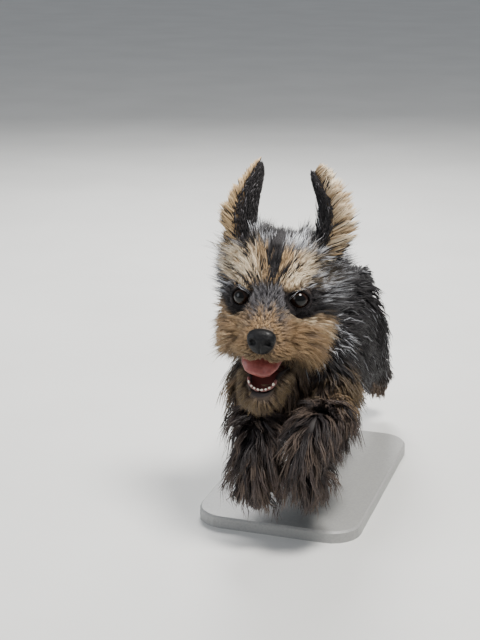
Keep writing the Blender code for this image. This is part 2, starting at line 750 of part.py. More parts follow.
def coat(core, others, finished, skin, style, into, rng):
    """Fuses a node's locks to its core, clear of the other nodes' plain forms and of finished nodes."""
    around, taken = trees(others), trees(finished)
    plain_trees = [trees([other]) for other in others]

    def allowed(point, normal):
        above = point + normal * 2 * MM
        free = all(stands_off(tree, above, 3 * MM) for tree in plain_trees)
        free = free and taken.find_nearest(above)[3] > CLEARANCE
        return free and style.get("where", lambda p, n: True)(point, normal)

    locks = []
    for root, normal in spread_roots(core, style["count"], allowed, style["lie"], rng):
        vary = rng.uniform(0.85, 1.15)
        scale = style.get("scale", lambda p: 1.0)(root)
        width = style["width"] * MM * rng.uniform(0.85, 1.15)
        thickness = style["thickness"] * MM
        track = lock_path(
            root, normal, style["lie"], style["length"] * MM * vary * scale, width,
            style["rise"] * MM * rng.uniform(0.75, 1.1) * scale, skin, around, taken, rng.uniform(-0.2, 0.2),
        )
        track = cleared(track, width, thickness, (around, taken), into)
        if track and not bends_hard(track):
            locks.append(add_lock(track, width, thickness, into))
    keep_largest(boolean(core, "UNION", locks))


def side_of(value):
    return math.copysign(1, value)


def body_lie(point, normal):
    """Back along the spine, then down over the ribs; down the breast in front."""
    if point.y < -0.040:
        return Vector((0.25 * side_of(point.x), 0.25, -1.0))
    return Vector((0.18 * side_of(point.x), 0.85, -0.30 - 0.55 * (1 - max(normal.z, 0))))


def neck_lie(point, normal):
    return Vector((0.45 * normal.x, 0.55, -0.45 - 0.45 * (1 - max(normal.z, 0))))


def leg_lie(point, normal):
    return Vector((0.10 * normal.x, 0.30, -0.95))


def tail_lie(point, normal):
    return Vector((0.1 * normal.x, 0.80, -0.25 - 0.30 * (1 - max(normal.z, 0))))


def head_lie(point, normal):
    """Up and out from the stop over the crown, out and down from the nose over the muzzle, out over the cheeks."""
    local = HEAD.inverted() @ point
    muzzle = min(1, max(0, (-local.y - 16 * MM) / (10 * MM))) * min(1, max(0, (4 * MM - local.z) / (8 * MM)))
    from_nose = (local - NOSE_CENTRE).normalized() + Vector((0.35 * side_of(local.x), 0.15, -0.75))
    from_stop = (local - STOP).normalized() + Vector((0.20 * side_of(local.x), 0.15, 0.30))
    low = min(1, max(0, (-local.z - 2 * MM) / (16 * MM)))
    cheek = Vector((0.80 * side_of(local.x), 0.35, -0.65))
    upper = from_stop * (1 - low) + cheek * low
    lie = (HEAD.to_3x3() @ (upper * (1 - muzzle) + from_nose * muzzle)).normalized()
    behind = min(1, max(0, local.y / (20 * MM)))
    return lie - normal * lie.dot(normal) * behind


def head_scale(point):
    """Locks are shortest on the bridge of the muzzle and longest on the crown, cheeks and moustache."""
    local = HEAD.inverted() @ point
    bridge = max(0, 1 - (local - Vector((0, -30, -6)) * MM).length / (17 * MM))
    return 1 - 0.6 * bridge


def off_the_face(point, normal):
    """Keeps locks off the eyes, the nose and the inside of the mouth."""
    local = HEAD.inverted() @ point
    turned = HEAD.to_3x3().inverted() @ normal
    eyes = min((local - eye_place(s) - gaze(s) * EYE_RADIUS).length for s in SIDES.values())
    pad = (local - NOSE_CENTRE).length
    mouth = local.z < -24 * MM and turned.z < -0.2
    return eyes > 10 * MM and pad > 10.5 * MM and not mouth


def jaw_lie(point, normal):
    return HEAD.to_3x3() @ Vector((0.35 * normal.x, 0.10, -1.0))


def under_the_lip(point, normal):
    local = JAW.inverted() @ point
    turned = JAW.to_3x3().inverted() @ normal
    return turned.z < 0.25 and local.y < -8 * MM


COATS = {
    "torso": dict(count=54, length=38, width=15, thickness=3.0, rise=8, lie=body_lie),
    "neck": dict(count=21, length=28, width=13, thickness=2.8, rise=9, lie=neck_lie),
    "head": dict(
        count=58, length=20, width=9, thickness=2.4, rise=9, lie=head_lie, where=off_the_face, scale=head_scale
    ),
    "jaw": dict(count=9, length=13, width=7, thickness=2.2, rise=4, lie=jaw_lie, where=under_the_lip),
    "tail": dict(count=9, length=24, width=9, thickness=2.4, rise=5, lie=tail_lie),
    "upper_foreleg": dict(count=12, length=24, width=10, thickness=2.4, rise=5, lie=leg_lie),
    "paw_foreleg": dict(count=8, length=15, width=8, thickness=2.2, rise=3.5, lie=leg_lie),
    "thigh_hind_leg": dict(count=11, length=28, width=12, thickness=2.6, rise=4, lie=leg_lie),
    "shank_hind_leg": dict(count=8, length=20, width=9, thickness=2.4, rise=5, lie=leg_lie),
    "paw_hind_leg": dict(count=5, length=13, width=7, thickness=2.2, rise=3, lie=leg_lie),
}
FRINGE = dict(count=8, length=13, width=6, thickness=2.0)


def fringe(leaf, margin, shares, others, into, rng):
    """Locks along an ear's outer margin, up and outwards. The shares are of their length, at its root and tip."""
    around = trees(others)
    locks = []
    rows = len(margin) - 1
    for k in range(FRINGE["count"]):
        v = 0.10 + 0.90 * k / (FRINGE["count"] - 1)
        at = min(int(v * rows), rows - 1)
        share = v * rows - at
        edge = margin[at][0].lerp(margin[at + 1][0], share)
        outwards = margin[at][1].lerp(margin[at + 1][1], share).normalized()
        rising = (margin[at + 1][0] - margin[at][0]).normalized()
        ahead = (outwards * (1.0 - 0.55 * v) + rising * (0.55 + 0.6 * v)).normalized()
        share_of_length = shares[0] * (1 - v) + shares[1] * v
        length = FRINGE["length"] * MM * share_of_length * rng.uniform(0.85, 1.15)
        flat = ahead.cross(outwards.cross(rising)).normalized()
        normal = ahead.cross(flat)
        track = [
            (edge + ahead * (length * t - 2.0 * MM) + rising * length * 0.22 * t * t, normal)
            for t in (k / MARCH for k in range(MARCH + 1))
        ]
        width, thickness = FRINGE["width"] * MM, FRINGE["thickness"] * MM
        if cleared(track, width, thickness, (around,), into) == track:
            locks.append(add_lock(track, width, thickness, into))
    keep_largest(boolean(leaf, "UNION", locks))


def grown(obj, into, by=GAP):
    """A copy that stands proud of a mesh, to cut its neighbours clear of it."""
    made = copy_of(obj, "grown_" + obj.name, into)
    normals = [v.normal.copy() for v in made.data.vertices]
    for vert, normal in zip(made.data.vertices, normals):
        vert.co += normal * by
    return made


def cut_clear(obj, cutters, into):
    """Cuts a node clear of the grown forms that its surface meets."""
    surface = trees([obj])
    meeting = [cutter for cutter in cutters if trees([cutter]).overlap(surface)]
    boolean(obj, "DIFFERENCE", [copy_of(cutter, "cutter", into) for cutter in meeting])
    return keep_largest(obj)


def stand(into):
    """A flat base with rounded corners and two rods up into the body."""
    bm = bmesh.new()
    bmesh.ops.create_cube(bm, size=1)
    for vert in bm.verts:
        vert.co.x *= BASE_WIDTH
        vert.co.y *= BASE_LENGTH
        vert.co.z = (vert.co.z + 0.5) * BASE_HEIGHT
    upright = [e for e in bm.edges if abs(e.verts[0].co.z - e.verts[1].co.z) > BASE_HEIGHT / 2]
    bmesh.ops.bevel(bm, geom=upright, offset=BASE_CORNER, segments=6, affect="EDGES", profile=0.5)
    rim = [e for e in bm.edges if min(v.co.z for v in e.verts) > BASE_HEIGHT / 2]
    bmesh.ops.bevel(bm, geom=rim, offset=0.0012, segments=1, affect="EDGES", profile=0.5)
    base = object_from("stand_base", bm, into)
    pieces = [base]
    for name, place in ROD_PLACES.items():
        low, high = BASE_HEIGHT + GAP, ROD_TOPS[name]
        bm = bmesh.new()
        bmesh.ops.create_cone(
            bm, cap_ends=True, segments=16, radius1=ROD_RADIUS, radius2=ROD_RADIUS, depth=high - low,
            matrix=Matrix.Translation((0, place, (low + high) / 2)),
        )
        pieces.append(object_from(name, bm, into))
    return pieces


def trunk(into):
    bm = bmesh.new()
    add_tube(bm, coated(TRUNK, TRUNK_COAT), sides=20)
    add_tube(bm, coated(NECK, NECK_COAT), sides=20)
    form = fused_form("trunk", bm, 2.0 * MM, 6, 620, into)
    return parted(form, ["torso", "neck"], [NECK_CUT], into)


def tail(into):
    bm = bmesh.new()
    add_tube(bm, coated(TAIL, TAIL_COAT), sides=14)
    form = fused_form("tail_form", bm, 1.5 * MM, 2, 170, into)
    return parted(form, ["rump_end", "tail"], [TAIL_CUT], into)


def kind_of(name):
    """A node's name without its side."""
    return name.removesuffix("_left").removesuffix("_right")


def dress(obj, palette, carrier):
    """Gives a node its material and smooth shading, its origin near its middle, and a parent."""
    obj.data.materials.clear()
    obj.data.materials.append(palette[MATERIAL_OF[kind_of(obj.name)]])
    obj.data.shade_smooth()
    obj.data.set_sharp_from_angle(angle=SHARP)
    middle = sum((Vector(corner) for corner in obj.bound_box), Vector()) / 8
    middle = Vector([round(c / MM) * MM for c in middle])
    obj.data.transform(Matrix.Translation(-middle))
    obj.location = middle
    obj.parent = carrier


def same_form(one, other):
    """True for nodes that were parted from one form, which already keep the gap."""
    legs = ("foreleg_left", "foreleg_right", "hind_leg_left", "hind_leg_right")
    return {one, other} == {"torso", "neck"} or any(one.endswith(leg) and other.endswith(leg) for leg in legs)


def main():
    clear_scene()
    rng = random.Random(SEED)
    into, spare = collection("yorkshire_terrier"), collection("spare_forms")
    finished, cutters = [], {}

    def finish(obj, plain=None, by=GAP):
        """Cuts a node clear of those before it, and keeps a grown form to cut the later ones."""
        own = grown(plain or obj, spare, by)
        cut_clear(obj, [cutter for name, cutter in cutters.items() if not same_form(name, obj.name)], spare)
        finished.append(obj)
        cutters[obj.name] = own
        for holder in list(obj.users_collection):
            holder.objects.unlink(obj)
        into.objects.link(obj)

    for obj in stand(spare) + [eyeball(f"eye_{name}", side, spare) for name, side in SIDES.items()]:
        finish(obj)
    finish(*nose(spare))
    down, up = Vector((0, -0.12, -1)).normalized(), Vector((0, -0.10, 1)).normalized()
    finish(*tooth_row("teeth_upper", (0, -33.5, -29.5), 7.6, down, 6.4 * MM, 2.6 * MM, HEAD, spare))
    finish(*tooth_row("teeth_lower", (0, -31.5, 5.0), 7.4, up, 4.6 * MM, 2.6 * MM, JAW, spare))
    finish(tongue(spare))

    cores, plain_forms = {}, {}
    cores["jaw"], plain_forms["jaw"] = jaw(spare)
    cores["head"], plain_forms["head"] = head_core(spare)
    torso, cores["neck"] = trunk(spare)
    cores["torso"] = torso
    cores["tail"] = tail(spare)[1]
    for name, side in SIDES.items():
        for part in limb(
            f"foreleg_{name}", foreleg(side, *FORELEG_POSES[name]), FORELEG_CUTS, ("upper", "paw"), -3.5, 400, spare
        ) + limb(f"hind_leg_{name}", hind_leg(side), HIND_LEG_CUTS, ("thigh", "shank", "paw"), 2.0, 440, spare):
            cores[part.name] = part
    for name, core in cores.items():
        plain_forms.setdefault(name, copy_of(core, "plain", spare))
    skin = trees(plain_forms.values())
    for name, side in SIDES.items():
        leaf, margin = ear(f"ear_{name}", side, *EARS[name], spare)
        plain = copy_of(leaf, "leaf", spare)
        fringe(leaf, margin, FRINGE_LENGTHS[name], plain_forms.values(), spare, rng)
        finish(leaf, plain, 1.7 * GAP)
    for name, core in cores.items():
        style = COATS[kind_of(name)]
        others = [other for key, other in plain_forms.items() if key != name]
        coat(core, others, finished, skin, style, spare, rng)
        finish(core, plain_forms[name])
    for obj in list(spare.objects):
        bpy.data.objects.remove(obj)
    bpy.data.collections.remove(spare)
    carrier = bpy.data.objects.new("yorkshire_terrier_origin", None)
    into.objects.link(carrier)
    palette = {name: material(name, *values) for name, values in MATERIALS.items()}
    for obj in list(into.objects):
        if obj is not carrier:
            dress(obj, palette, carrier)


main()
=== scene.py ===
"""Looks of a life-size yorkshire terrier puppy in mid leap, on a plain display stand.

One skin carries the markings. Over it grow solid, tapered strands of hair in clumps that follow the lie of the coat.
Lengths in the lists below are millimetres, and colours are linear red, green and blue.
"""

import math

import bmesh
import bpy
import numpy as np
from mathutils import Matrix, Vector
from mathutils.bvhtree import BVHTree


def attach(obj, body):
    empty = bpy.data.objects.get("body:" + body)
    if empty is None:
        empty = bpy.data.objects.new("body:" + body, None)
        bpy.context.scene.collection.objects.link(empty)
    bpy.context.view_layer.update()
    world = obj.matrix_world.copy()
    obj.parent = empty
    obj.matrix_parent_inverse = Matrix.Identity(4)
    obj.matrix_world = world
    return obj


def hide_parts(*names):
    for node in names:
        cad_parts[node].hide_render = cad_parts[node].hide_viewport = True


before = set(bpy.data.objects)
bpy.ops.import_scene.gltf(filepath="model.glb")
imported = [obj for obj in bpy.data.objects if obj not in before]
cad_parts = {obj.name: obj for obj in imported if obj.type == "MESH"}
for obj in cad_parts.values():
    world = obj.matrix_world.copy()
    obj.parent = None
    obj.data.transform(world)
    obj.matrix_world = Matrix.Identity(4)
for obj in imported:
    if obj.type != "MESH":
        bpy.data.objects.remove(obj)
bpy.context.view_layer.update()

MM = 0.001
SEED = 11
SIDES = {"left": 1, "right": -1}

# The head's own frame: its origin is the middle of the brain case, -Y is forward and +Z is up.
HEAD = (
    Matrix.Translation(Vector((-4, -69, 156)) * MM)
    @ Matrix.Rotation(math.radians(7), 4, "Z")
    @ Matrix.Rotation(math.radians(-7), 4, "X")
    @ Matrix.Rotation(math.radians(3), 4, "Y")
)
JAW = HEAD @ Matrix.Translation(Vector((0, -4, -27)) * MM) @ Matrix.Rotation(math.radians(47), 4, "X")
SKULL = ((0, 2, 4), (27, 29, 27))
EYES = {1: (16.2, -17.5, 2.1), -1: (-17.2, -17.5, 0.2)}  # for each side
EYE_RADIUS = 7.2
EYE_TURN = math.radians(20)
EYE_OPENING = (6.1, 5.1)
NOSE = (0, -45.5, -21.4)
NOSE_HALF = (8.6, 5.6, 7.9)
STOP = (0, -27, 2)
BROW_SOURCE = (0, -34, -6)  # where the coat of the forehead flows from

# Flesh stations: x, y, z, half width and half height.
TRUNK = [
    (0, -54, 92, 15, 19), (0, -42, 95, 24, 28), (0, -12, 96, 32, 32), (0, 22, 99, 33, 30),
    (0, 52, 104, 28, 25), (0, 80, 107, 26, 25), (0, 98, 106, 17, 18),
]
NECK = [(0, -22, 104, 26, 27), (-1, -38, 118, 23, 22), (-3, -50, 132, 20, 19), (-4, -60, 146, 18, 18)]
THROAT = [(-4, -91, 114, 8, 5), (-4, -80, 113, 11, 9), (-3, -66, 112, 14, 12), (-1, -50, 110, 18, 16)]
TAIL = [(0, 92, 110, 8, 9), (0, 112, 114, 6.5, 6.5), (1, 132, 115, 5, 5), (2, 148, 113, 3, 3)]
MUZZLE = [(0, -8, -6, 22, 20), (0, -24, -12, 15, 14), (0, -33, -18, 11.8, 10.4), (0, -38.5, -21, 10, 8.8)]
LOWER_JAW = [
    (0, -1, -1, 16, 8.5), (0, -16, -1, 13.8, 7.2), (0, -29, -1, 11.8, 6), (0, -39, -0.5, 9.8, 5), (0, -43.5, 0, 7, 3.8),
]
PALATE = [(0, -8, -41, 14, 7), (0, -22, -39, 13, 6.5), (0, -34, -38, 9, 5)]
MOUTH_FLOOR = [(0, -2, 8, 13, 7), (0, -18, 6.5, 11.2, 5.4), (0, -30, 5.4, 9.6, 4.6), (0, -38, 5, 7.4, 3.8)]
FORELEG_POSES = {"left": (13, 9), "right": (0, 10)}  # how far a paw is lifted, and swung towards +X


def foreleg(side, lift, swing):
    return [
        (side * 19, -36, 98, 14, 17), (side * 24 + swing * 0.2, -48, 84, 12, 14),
        (side * 24.5 + swing * 0.45, -57, 69 + lift * 0.4, 9.5, 11), (side * 22 + swing * 0.8, -76, 67 + lift * 0.7, 7.6, 8),
        (side * 19 + swing, -94, 67 + lift, 6.6, 7), (side * 18 + swing, -101, 55 + lift, 6.4, 6.4),
        (side * 18 + swing, -100, 41 + lift, 8.2, 6.6), (side * 18 + swing, -97, 35 + lift, 7.5, 5.8),
    ]


def hind_leg(side):
    return [
        (side * 14, 70, 108, 16, 22), (side * 18.5, 79, 90, 13, 19), (side * 19.5, 90, 73, 10, 13),
        (side * 18.5, 105, 64, 8, 9), (side * 17.5, 120, 57, 6.2, 7), (side * 17.5, 131, 45, 6, 6),
        (side * 17.5, 138, 35, 8, 6), (side * 17.5, 140, 29, 7.4, 5.4),
    ]


LEGS = {f"foreleg_{name}": foreleg(side, *FORELEG_POSES[name]) for name, side in SIDES.items()}
LEGS |= {f"hind_leg_{name}": hind_leg(side) for name, side in SIDES.items()}
TOES_AHEAD = {"foreleg": -3.5, "hind_leg": 2.0}
TOE_ROW = 4.1  # between the toes' middles

# Colours.
BLACK = (0.010, 0.0095, 0.011)
SOOT = (0.028, 0.0255, 0.027)
SILVER = (0.60, 0.62, 0.66)
GREY = (0.20, 0.19, 0.20)
TAN = (0.37, 0.235, 0.115)
GOLD = (0.51, 0.345, 0.18)
CREAM = (0.86, 0.77, 0.60)
BROWN = (0.085, 0.062, 0.050)
UMBER = (0.19, 0.135, 0.095)
DUSK = (0.022, 0.018, 0.019)
DUN = (0.085, 0.064, 0.056)
ASH = (0.15, 0.145, 0.155)
SLATE = (0.075, 0.068, 0.072)
LIP = (0.018, 0.013, 0.013)
MOUTH = (0.085, 0.019, 0.017)
# Tan as it looks in shade: painted shade on the jaw, the lower muzzle and the breast patch.
SHADED_TAN = (0.165, 0.118, 0.062)
EAR_FLESH = (0.26, 0.17, 0.13)


def smooth_between(values, steps):
    """Catmull-Rom points through a list of tuples of numbers, with the given steps to a span."""
    made = []
    for i in range(len(values) - 1):
        p0, p1 = values[max(i - 1, 0)], values[i]
        p2, p3 = values[i + 1], values[min(i + 2, len(values) - 1)]
        for k in range(steps):
            t = k / steps
            made.append(tuple(
                0.5 * (2 * b + (c - a) * t + (2 * a - 5 * b + 4 * c - d) * t**2 + (3 * b - a - 3 * c + d) * t**3)
                for a, b, c, d in zip(p0, p1, p2, p3)
            ))
    return made + [tuple(values[-1])]


def object_from(name, bm):
    bmesh.ops.recalc_face_normals(bm, faces=bm.faces)
    mesh = bpy.data.meshes.new(name)
    bm.to_mesh(mesh)
    bm.free()
    obj = bpy.data.objects.new(name, mesh)
    bpy.context.scene.collection.objects.link(obj)
    return obj


def apply_modifiers(obj):
    bpy.context.view_layer.update()
    graph = bpy.context.evaluated_depsgraph_get()
    mesh = bpy.data.meshes.new_from_object(obj.evaluated_get(graph))
    obj.modifiers.clear()
    obj.data = mesh
    return obj


def add_tube(bm, stations, place=Matrix.Identity(4), sides=24, steps=6):
    """A closed tube with round ends through stations, in the frame of a placing matrix."""
    rows = smooth_between(stations, steps)
    centres = [Vector(row[:3]) for row in rows]
    rings = []
    for i, row in enumerate(rows):
        along = (centres[min(i + 1, len(rows) - 1)] - centres[max(i - 1, 0)]).normalized()
        side = (Vector((1, 0, 0)) - along * along.x).normalized()
        up = along.cross(side)
        turns = [(0.0, 1.0)]
        if i == 0:
            turns = [(-math.sin(math.radians(a)), math.cos(math.radians(a))) for a in (75, 50, 25, 0)]
        elif i == len(rows) - 1:
            turns = [(math.sin(math.radians(a)), math.cos(math.radians(a))) for a in (0, 25, 50, 75)]
        reach = min(row[3], row[4])
        for shift, share in turns:
            middle = centres[i] + along * shift * reach
            angles = [2 * math.pi * k / sides for k in range(sides)]
            rings.append([
                bm.verts.new(place @ ((middle + share * (side * row[3] * math.cos(a) + up * row[4] * math.sin(a))) * MM))
                for a in angles
            ])
    for lower, upper in zip(rings, rings[1:]):
        for k in range(sides):
            bm.faces.new((lower[k], lower[(k + 1) % sides], upper[(k + 1) % sides], upper[k]))
    bm.faces.new(rings[0])
    bm.faces.new(rings[-1])


def add_ball(bm, centre, half, place=Matrix.Identity(4), fineness=3):
    matrix = place @ Matrix.Translation(Vector(centre) * MM) @ Matrix.Diagonal((*(Vector(half) * MM), 1))
    bmesh.ops.create_icosphere(bm, subdivisions=fineness, radius=1, matrix=matrix)


def gaze(side):
    return Vector((side * math.sin(EYE_TURN), -math.cos(EYE_TURN), 0.06)).normalized()


def eye_frame(side):
    """The eye's own frame: +Z is its gaze."""
    turn = gaze(side).to_track_quat("Z", "Y").to_matrix().to_4x4()
    return HEAD @ Matrix.Translation(Vector(EYES[side]) * MM) @ turn


def unit(vectors):
    return vectors / np.maximum(np.linalg.norm(vectors, axis=-1, keepdims=True), 1e-12)


def ramp(values, low, high):
    """Smooth rise from 0 at low to 1 at high."""
    t = np.clip((values - low) / (high - low), 0, 1)
    return t * t * (3 - 2 * t)


def local(points, place):
    """World points in the frame of a matrix, in millimetres."""
    inverse = np.array(place.inverted())
    return (points @ inverse[:3, :3].T + inverse[:3, 3]) / MM


def outwards(vectors, place):
    """Directions from the frame of a matrix to the world."""
    return vectors @ np.array(place)[:3, :3].T


def waves(points, size, seed):
    """Smooth noise of about -1 to 1: sines in seeded directions, with a wavelength of about size."""
    rng = np.random.default_rng(seed)
    total = np.zeros(len(points))
    for _ in range(5):
        direction = unit(rng.normal(size=3)) * 2 * math.pi / size * rng.uniform(0.7, 1.4)
        total += np.sin(points @ direction + rng.uniform(0, 2 * math.pi))
    return total / 2.2


# Skin.

EAR_HALF_WIDTH = 11
EAR_THICKNESS = 2.0
EARS = {"left": (60, 62, 60), "right": (62, 41, 37)}  # length, how far out a leaf leans, how far in its tip curls


def ear_point(name, u, v):
    """A point of the ear's leaf. u runs from -1 to 1 across it and v from 0 to 1 up it."""
    side = SIDES[name]
    length, out, inward = EARS[name]
    width = EAR_HALF_WIDTH * (0.66 + 0.34 * math.sin(math.pi * min(v / 0.62, 1) / 2)) * (1 - min(v, 1)**4) ** 0.7
    width = max(width, 1.4)
    bow = math.radians(95 - 50 * v)
    radius = width / math.sin(min(bow, math.pi / 2))
    point = Vector((radius * math.sin(bow * u), 5 * v * v + radius * math.cos(bow * u), length * v))
    point = Matrix.Rotation(side * math.radians(120), 3, "Z") @ point
    point.x += side * (out * v - inward * v * v)
    return HEAD @ ((point + Vector((side * 20, 8, 20))) * MM)


def ear_leaf(name):
    across, along = 16, 24
    bm = bmesh.new()
    rows = [
        [bm.verts.new(ear_point(name, 2 * i / across - 1, j / along)) for i in range(across + 1)]
        for j in range(along + 1)
    ]
    for lower, upper in zip(rows, rows[1:]):
        for i in range(across):
            bm.faces.new((lower[i], lower[i + 1], upper[i + 1], upper[i]))
    leaf = object_from("leaf_" + name, bm)
    shell = leaf.modifiers.new("thickness", "SOLIDIFY")
    shell.thickness = EAR_THICKNESS * MM
    shell.offset = 0
    return apply_modifiers(leaf)


def add_toes(bm, name, stations):
    end, before = Vector(stations[-1][:3]), Vector(stations[-2][:3])
    ahead = (end - before).normalized()
    toes = []
    for k in range(4):
        across = (k - 1.5) * TOE_ROW
        shift = Vector((across, TOES_AHEAD[name.rsplit("_", 1)[0]], 0))
        middle = end + shift + ahead * (3.4 - 0.0875 * across * across)
        add_ball(bm, middle, (2.7, 3.4, 3.6))
        toes.append((middle, ahead))
    return toes


def remeshed(obj, voxel, smoothing):
    remesh = obj.modifiers.new("fuse", "REMESH")
    remesh.mode = "VOXEL"
    remesh.voxel_size = voxel * MM
    soften = obj.modifiers.new("soften", "SMOOTH")
    soften.factor = 0.5
    soften.iterations = smoothing
    return apply_modifiers(obj)


def cut(obj, cutter):
    difference = obj.modifiers.new("cut", "BOOLEAN")
    difference.operation = "DIFFERENCE"
    difference.solver = "MANIFOLD"
    difference.object = cutter
    apply_modifiers(obj)
    bpy.data.objects.remove(cutter)


def make_skin():
    """The whole body as one soft form, hollowed at the mouth and the eyes. Returns it and the toes."""
    bm = bmesh.new()
    add_tube(bm, TRUNK)
    add_tube(bm, NECK)
    add_tube(bm, THROAT)
    add_tube(bm, TAIL)
    toes = []
    for name, stations in LEGS.items():
        add_tube(bm, stations)
        toes += add_toes(bm, name, stations)
    add_ball(bm, *SKULL, HEAD, 4)
    add_tube(bm, MUZZLE, HEAD)
    add_tube(bm, LOWER_JAW, JAW)
    for side in SIDES.values():
        add_ball(bm, (side * 17, -6, -12), (11, 14, 12), HEAD)
        add_ball(bm, (side * 14.8, -12, -21), (9.8, 12.2, 11), HEAD)
        add_ball(bm, (side * 11, -20, 9), (9, 6, 4.5), HEAD)
        add_ball(bm, (EYES[side][0], -17, EYES[side][2] - 1), (9.4, 8.4, 8.6), HEAD)
        add_ball(bm, (side * 5.8, -36.5, -27), (7.2, 7.6, 7.2), HEAD)
    skin = object_from("skin", bm)
    leaves = [ear_leaf(name) for name in SIDES]
    for leaf in leaves:
        union = skin.modifiers.new("ear", "BOOLEAN")
        union.operation = "UNION"
        union.solver = "MANIFOLD"
        union.object = leaf
    remeshed(skin, 1.1, 4)
    for leaf in leaves:
        bpy.data.objects.remove(leaf)
    bm = bmesh.new()
    add_tube(bm, PALATE, HEAD)
    cut(skin, object_from("palate", bm))
    bm = bmesh.new()
    add_tube(bm, MOUTH_FLOOR, JAW)
    cut(skin, object_from("mouth_floor", bm))
    for side in SIDES.values():
        bm = bmesh.new()
        add_ball(bm, (0, 0, 0), (EYE_RADIUS + 0.5,) * 3, eye_frame(side), 4)
        cut(skin, object_from("socket", bm))
        bm = bmesh.new()
        gap = (EYE_OPENING[0] + 1.0, EYE_OPENING[1] + 1.0)
        add_tube(bm, [(0, 0, 5, *gap), (0, 0, 18, *gap)], eye_frame(side))
        cut(skin, object_from("opening", bm))
    remeshed(skin, 0.95, 2)
    skin.data.shade_smooth()
    return skin, toes


class Surface:
    """The skin's mesh as arrays, with a search tree and an unwrap."""

    def __init__(self, obj):
        mesh = obj.data
        mesh.calc_loop_triangles()
        count = len(mesh.loop_triangles)
        self.points = np.empty(len(mesh.vertices) * 3)
        mesh.vertices.foreach_get("co", self.points)
        self.points = self.points.reshape(-1, 3)
        self.normals = np.empty(len(mesh.vertices) * 3)
        mesh.vertices.foreach_get("normal", self.normals)
        self.normals = self.normals.reshape(-1, 3)
        self.faces = np.empty(count * 3, int)
        mesh.loop_triangles.foreach_get("vertices", self.faces)
        self.faces = self.faces.reshape(-1, 3)
        loops = np.empty(count * 3, int)
        mesh.loop_triangles.foreach_get("loops", loops)
        uv = np.empty(len(mesh.loops) * 2)
        mesh.uv_layers["OFBake"].data.foreach_get("uv", uv)
        self.uv = uv.reshape(-1, 2)[loops].reshape(-1, 3, 2).mean(1)
        a, b, c = (self.points[self.faces[:, k]] for k in range(3))
        self.areas = np.linalg.norm(np.cross(b - a, c - a), axis=1) / 2
        self.middles = (a + b + c) / 3
        self.tree = BVHTree.FromPolygons(self.points.tolist(), self.faces.tolist())

    def nearest(self, points):
        """Nearest places, their face normals and their faces."""
        places, normals, faces = np.empty_like(points), np.empty_like(points), np.empty(len(points), int)
        for i, point in enumerate(points.tolist()):
            place, normal, face, _ = self.tree.find_nearest(point)
            places[i], normals[i], faces[i] = place, normal, face
        return places, normals, faces

    def scattered(self, density, count, rng):
        """Random roots: places, smooth normals and faces. Density is a weight for each face."""
        weight = self.areas * density
        picked = rng.choice(len(weight), count, p=weight / weight.sum())
        a, b = rng.random((2, count))
        over = a + b > 1
        a[over], b[over] = 1 - a[over], 1 - b[over]
        corner = self.faces[picked]
        shares = np.stack([1 - a - b, a, b], 1)[:, :, None]
        return (self.points[corner] * shares).sum(1), unit((self.normals[corner] * shares).sum(1)), picked


def unwrap(obj):
    """A smart projection of the skin's own shape, as the map that its colours and its coat's are baked on."""
    obj.data.uv_layers.new(name="OFBake")
    bpy.context.view_layer.objects.active = obj
    obj.select_set(True)
    bpy.ops.object.mode_set(mode="EDIT")
    bpy.ops.mesh.select_all(action="SELECT")
    bpy.ops.uv.smart_project(angle_limit=math.radians(66), island_margin=0.002)
    bpy.ops.object.mode_set(mode="OBJECT")
    obj.select_set(False)


# Parts of the body, by how near a point is to each as a share of its radius.


class Parts:
    """Soft division of the body into parts: a point belongs most to the part whose axis it is nearest to."""

    def __init__(self):
        self.axes = {"trunk": self.axis(TRUNK), "neck": self.axis(NECK), "tail": self.axis(TAIL)}
        for name, stations in LEGS.items():
            self.axes[name] = self.axis(stations)
        self.axes["muzzle"] = self.axis(MUZZLE, HEAD)
        self.axes["jaw"] = self.axis(LOWER_JAW, JAW)
        self.names = list(self.axes) + ["skull"]

    @staticmethod
    def axis(stations, place=Matrix.Identity(4)):
        rows = np.array(smooth_between(stations, 5))
        turned = np.array(place)
        centres = rows[:, :3] * MM @ turned[:3, :3].T + turned[:3, 3]
        return centres, rows[:, 3:].mean(1) * MM

    def heading(self, name, points):
        """Along a part's axis, towards its end, at each point."""
        centres, radii = self.axes[name]
        ways = unit(np.gradient(centres, axis=0))
        near = (np.linalg.norm(points[:, None, :] - centres[None], axis=2) / radii).argmin(1)
        return ways[near]

    def shares(self, points):
        """For each point, its distance from each part's axis as a share of the part's radius."""
        made = []
        for centres, radii in self.axes.values():
            apart = np.linalg.norm(points[:, None, :] - centres[None], axis=2) / radii
            made.append(apart.min(1))
        skull = np.linalg.norm((local(points, HEAD) - SKULL[0]) / SKULL[1], axis=1)
        return np.stack(made + [skull], 1)

    def weights(self, points):
        """Soft membership of each part, which sums to 1."""
        near = self.shares(points)
        raw = np.exp(-9 * (near - near.min(1, keepdims=True)))
        raw /= raw.sum(1, keepdims=True)
        return {name: raw[:, i] for i, name in enumerate(self.names)}


PARTS = Parts()


def head_weight(weights):
    return weights["skull"] + weights["muzzle"]


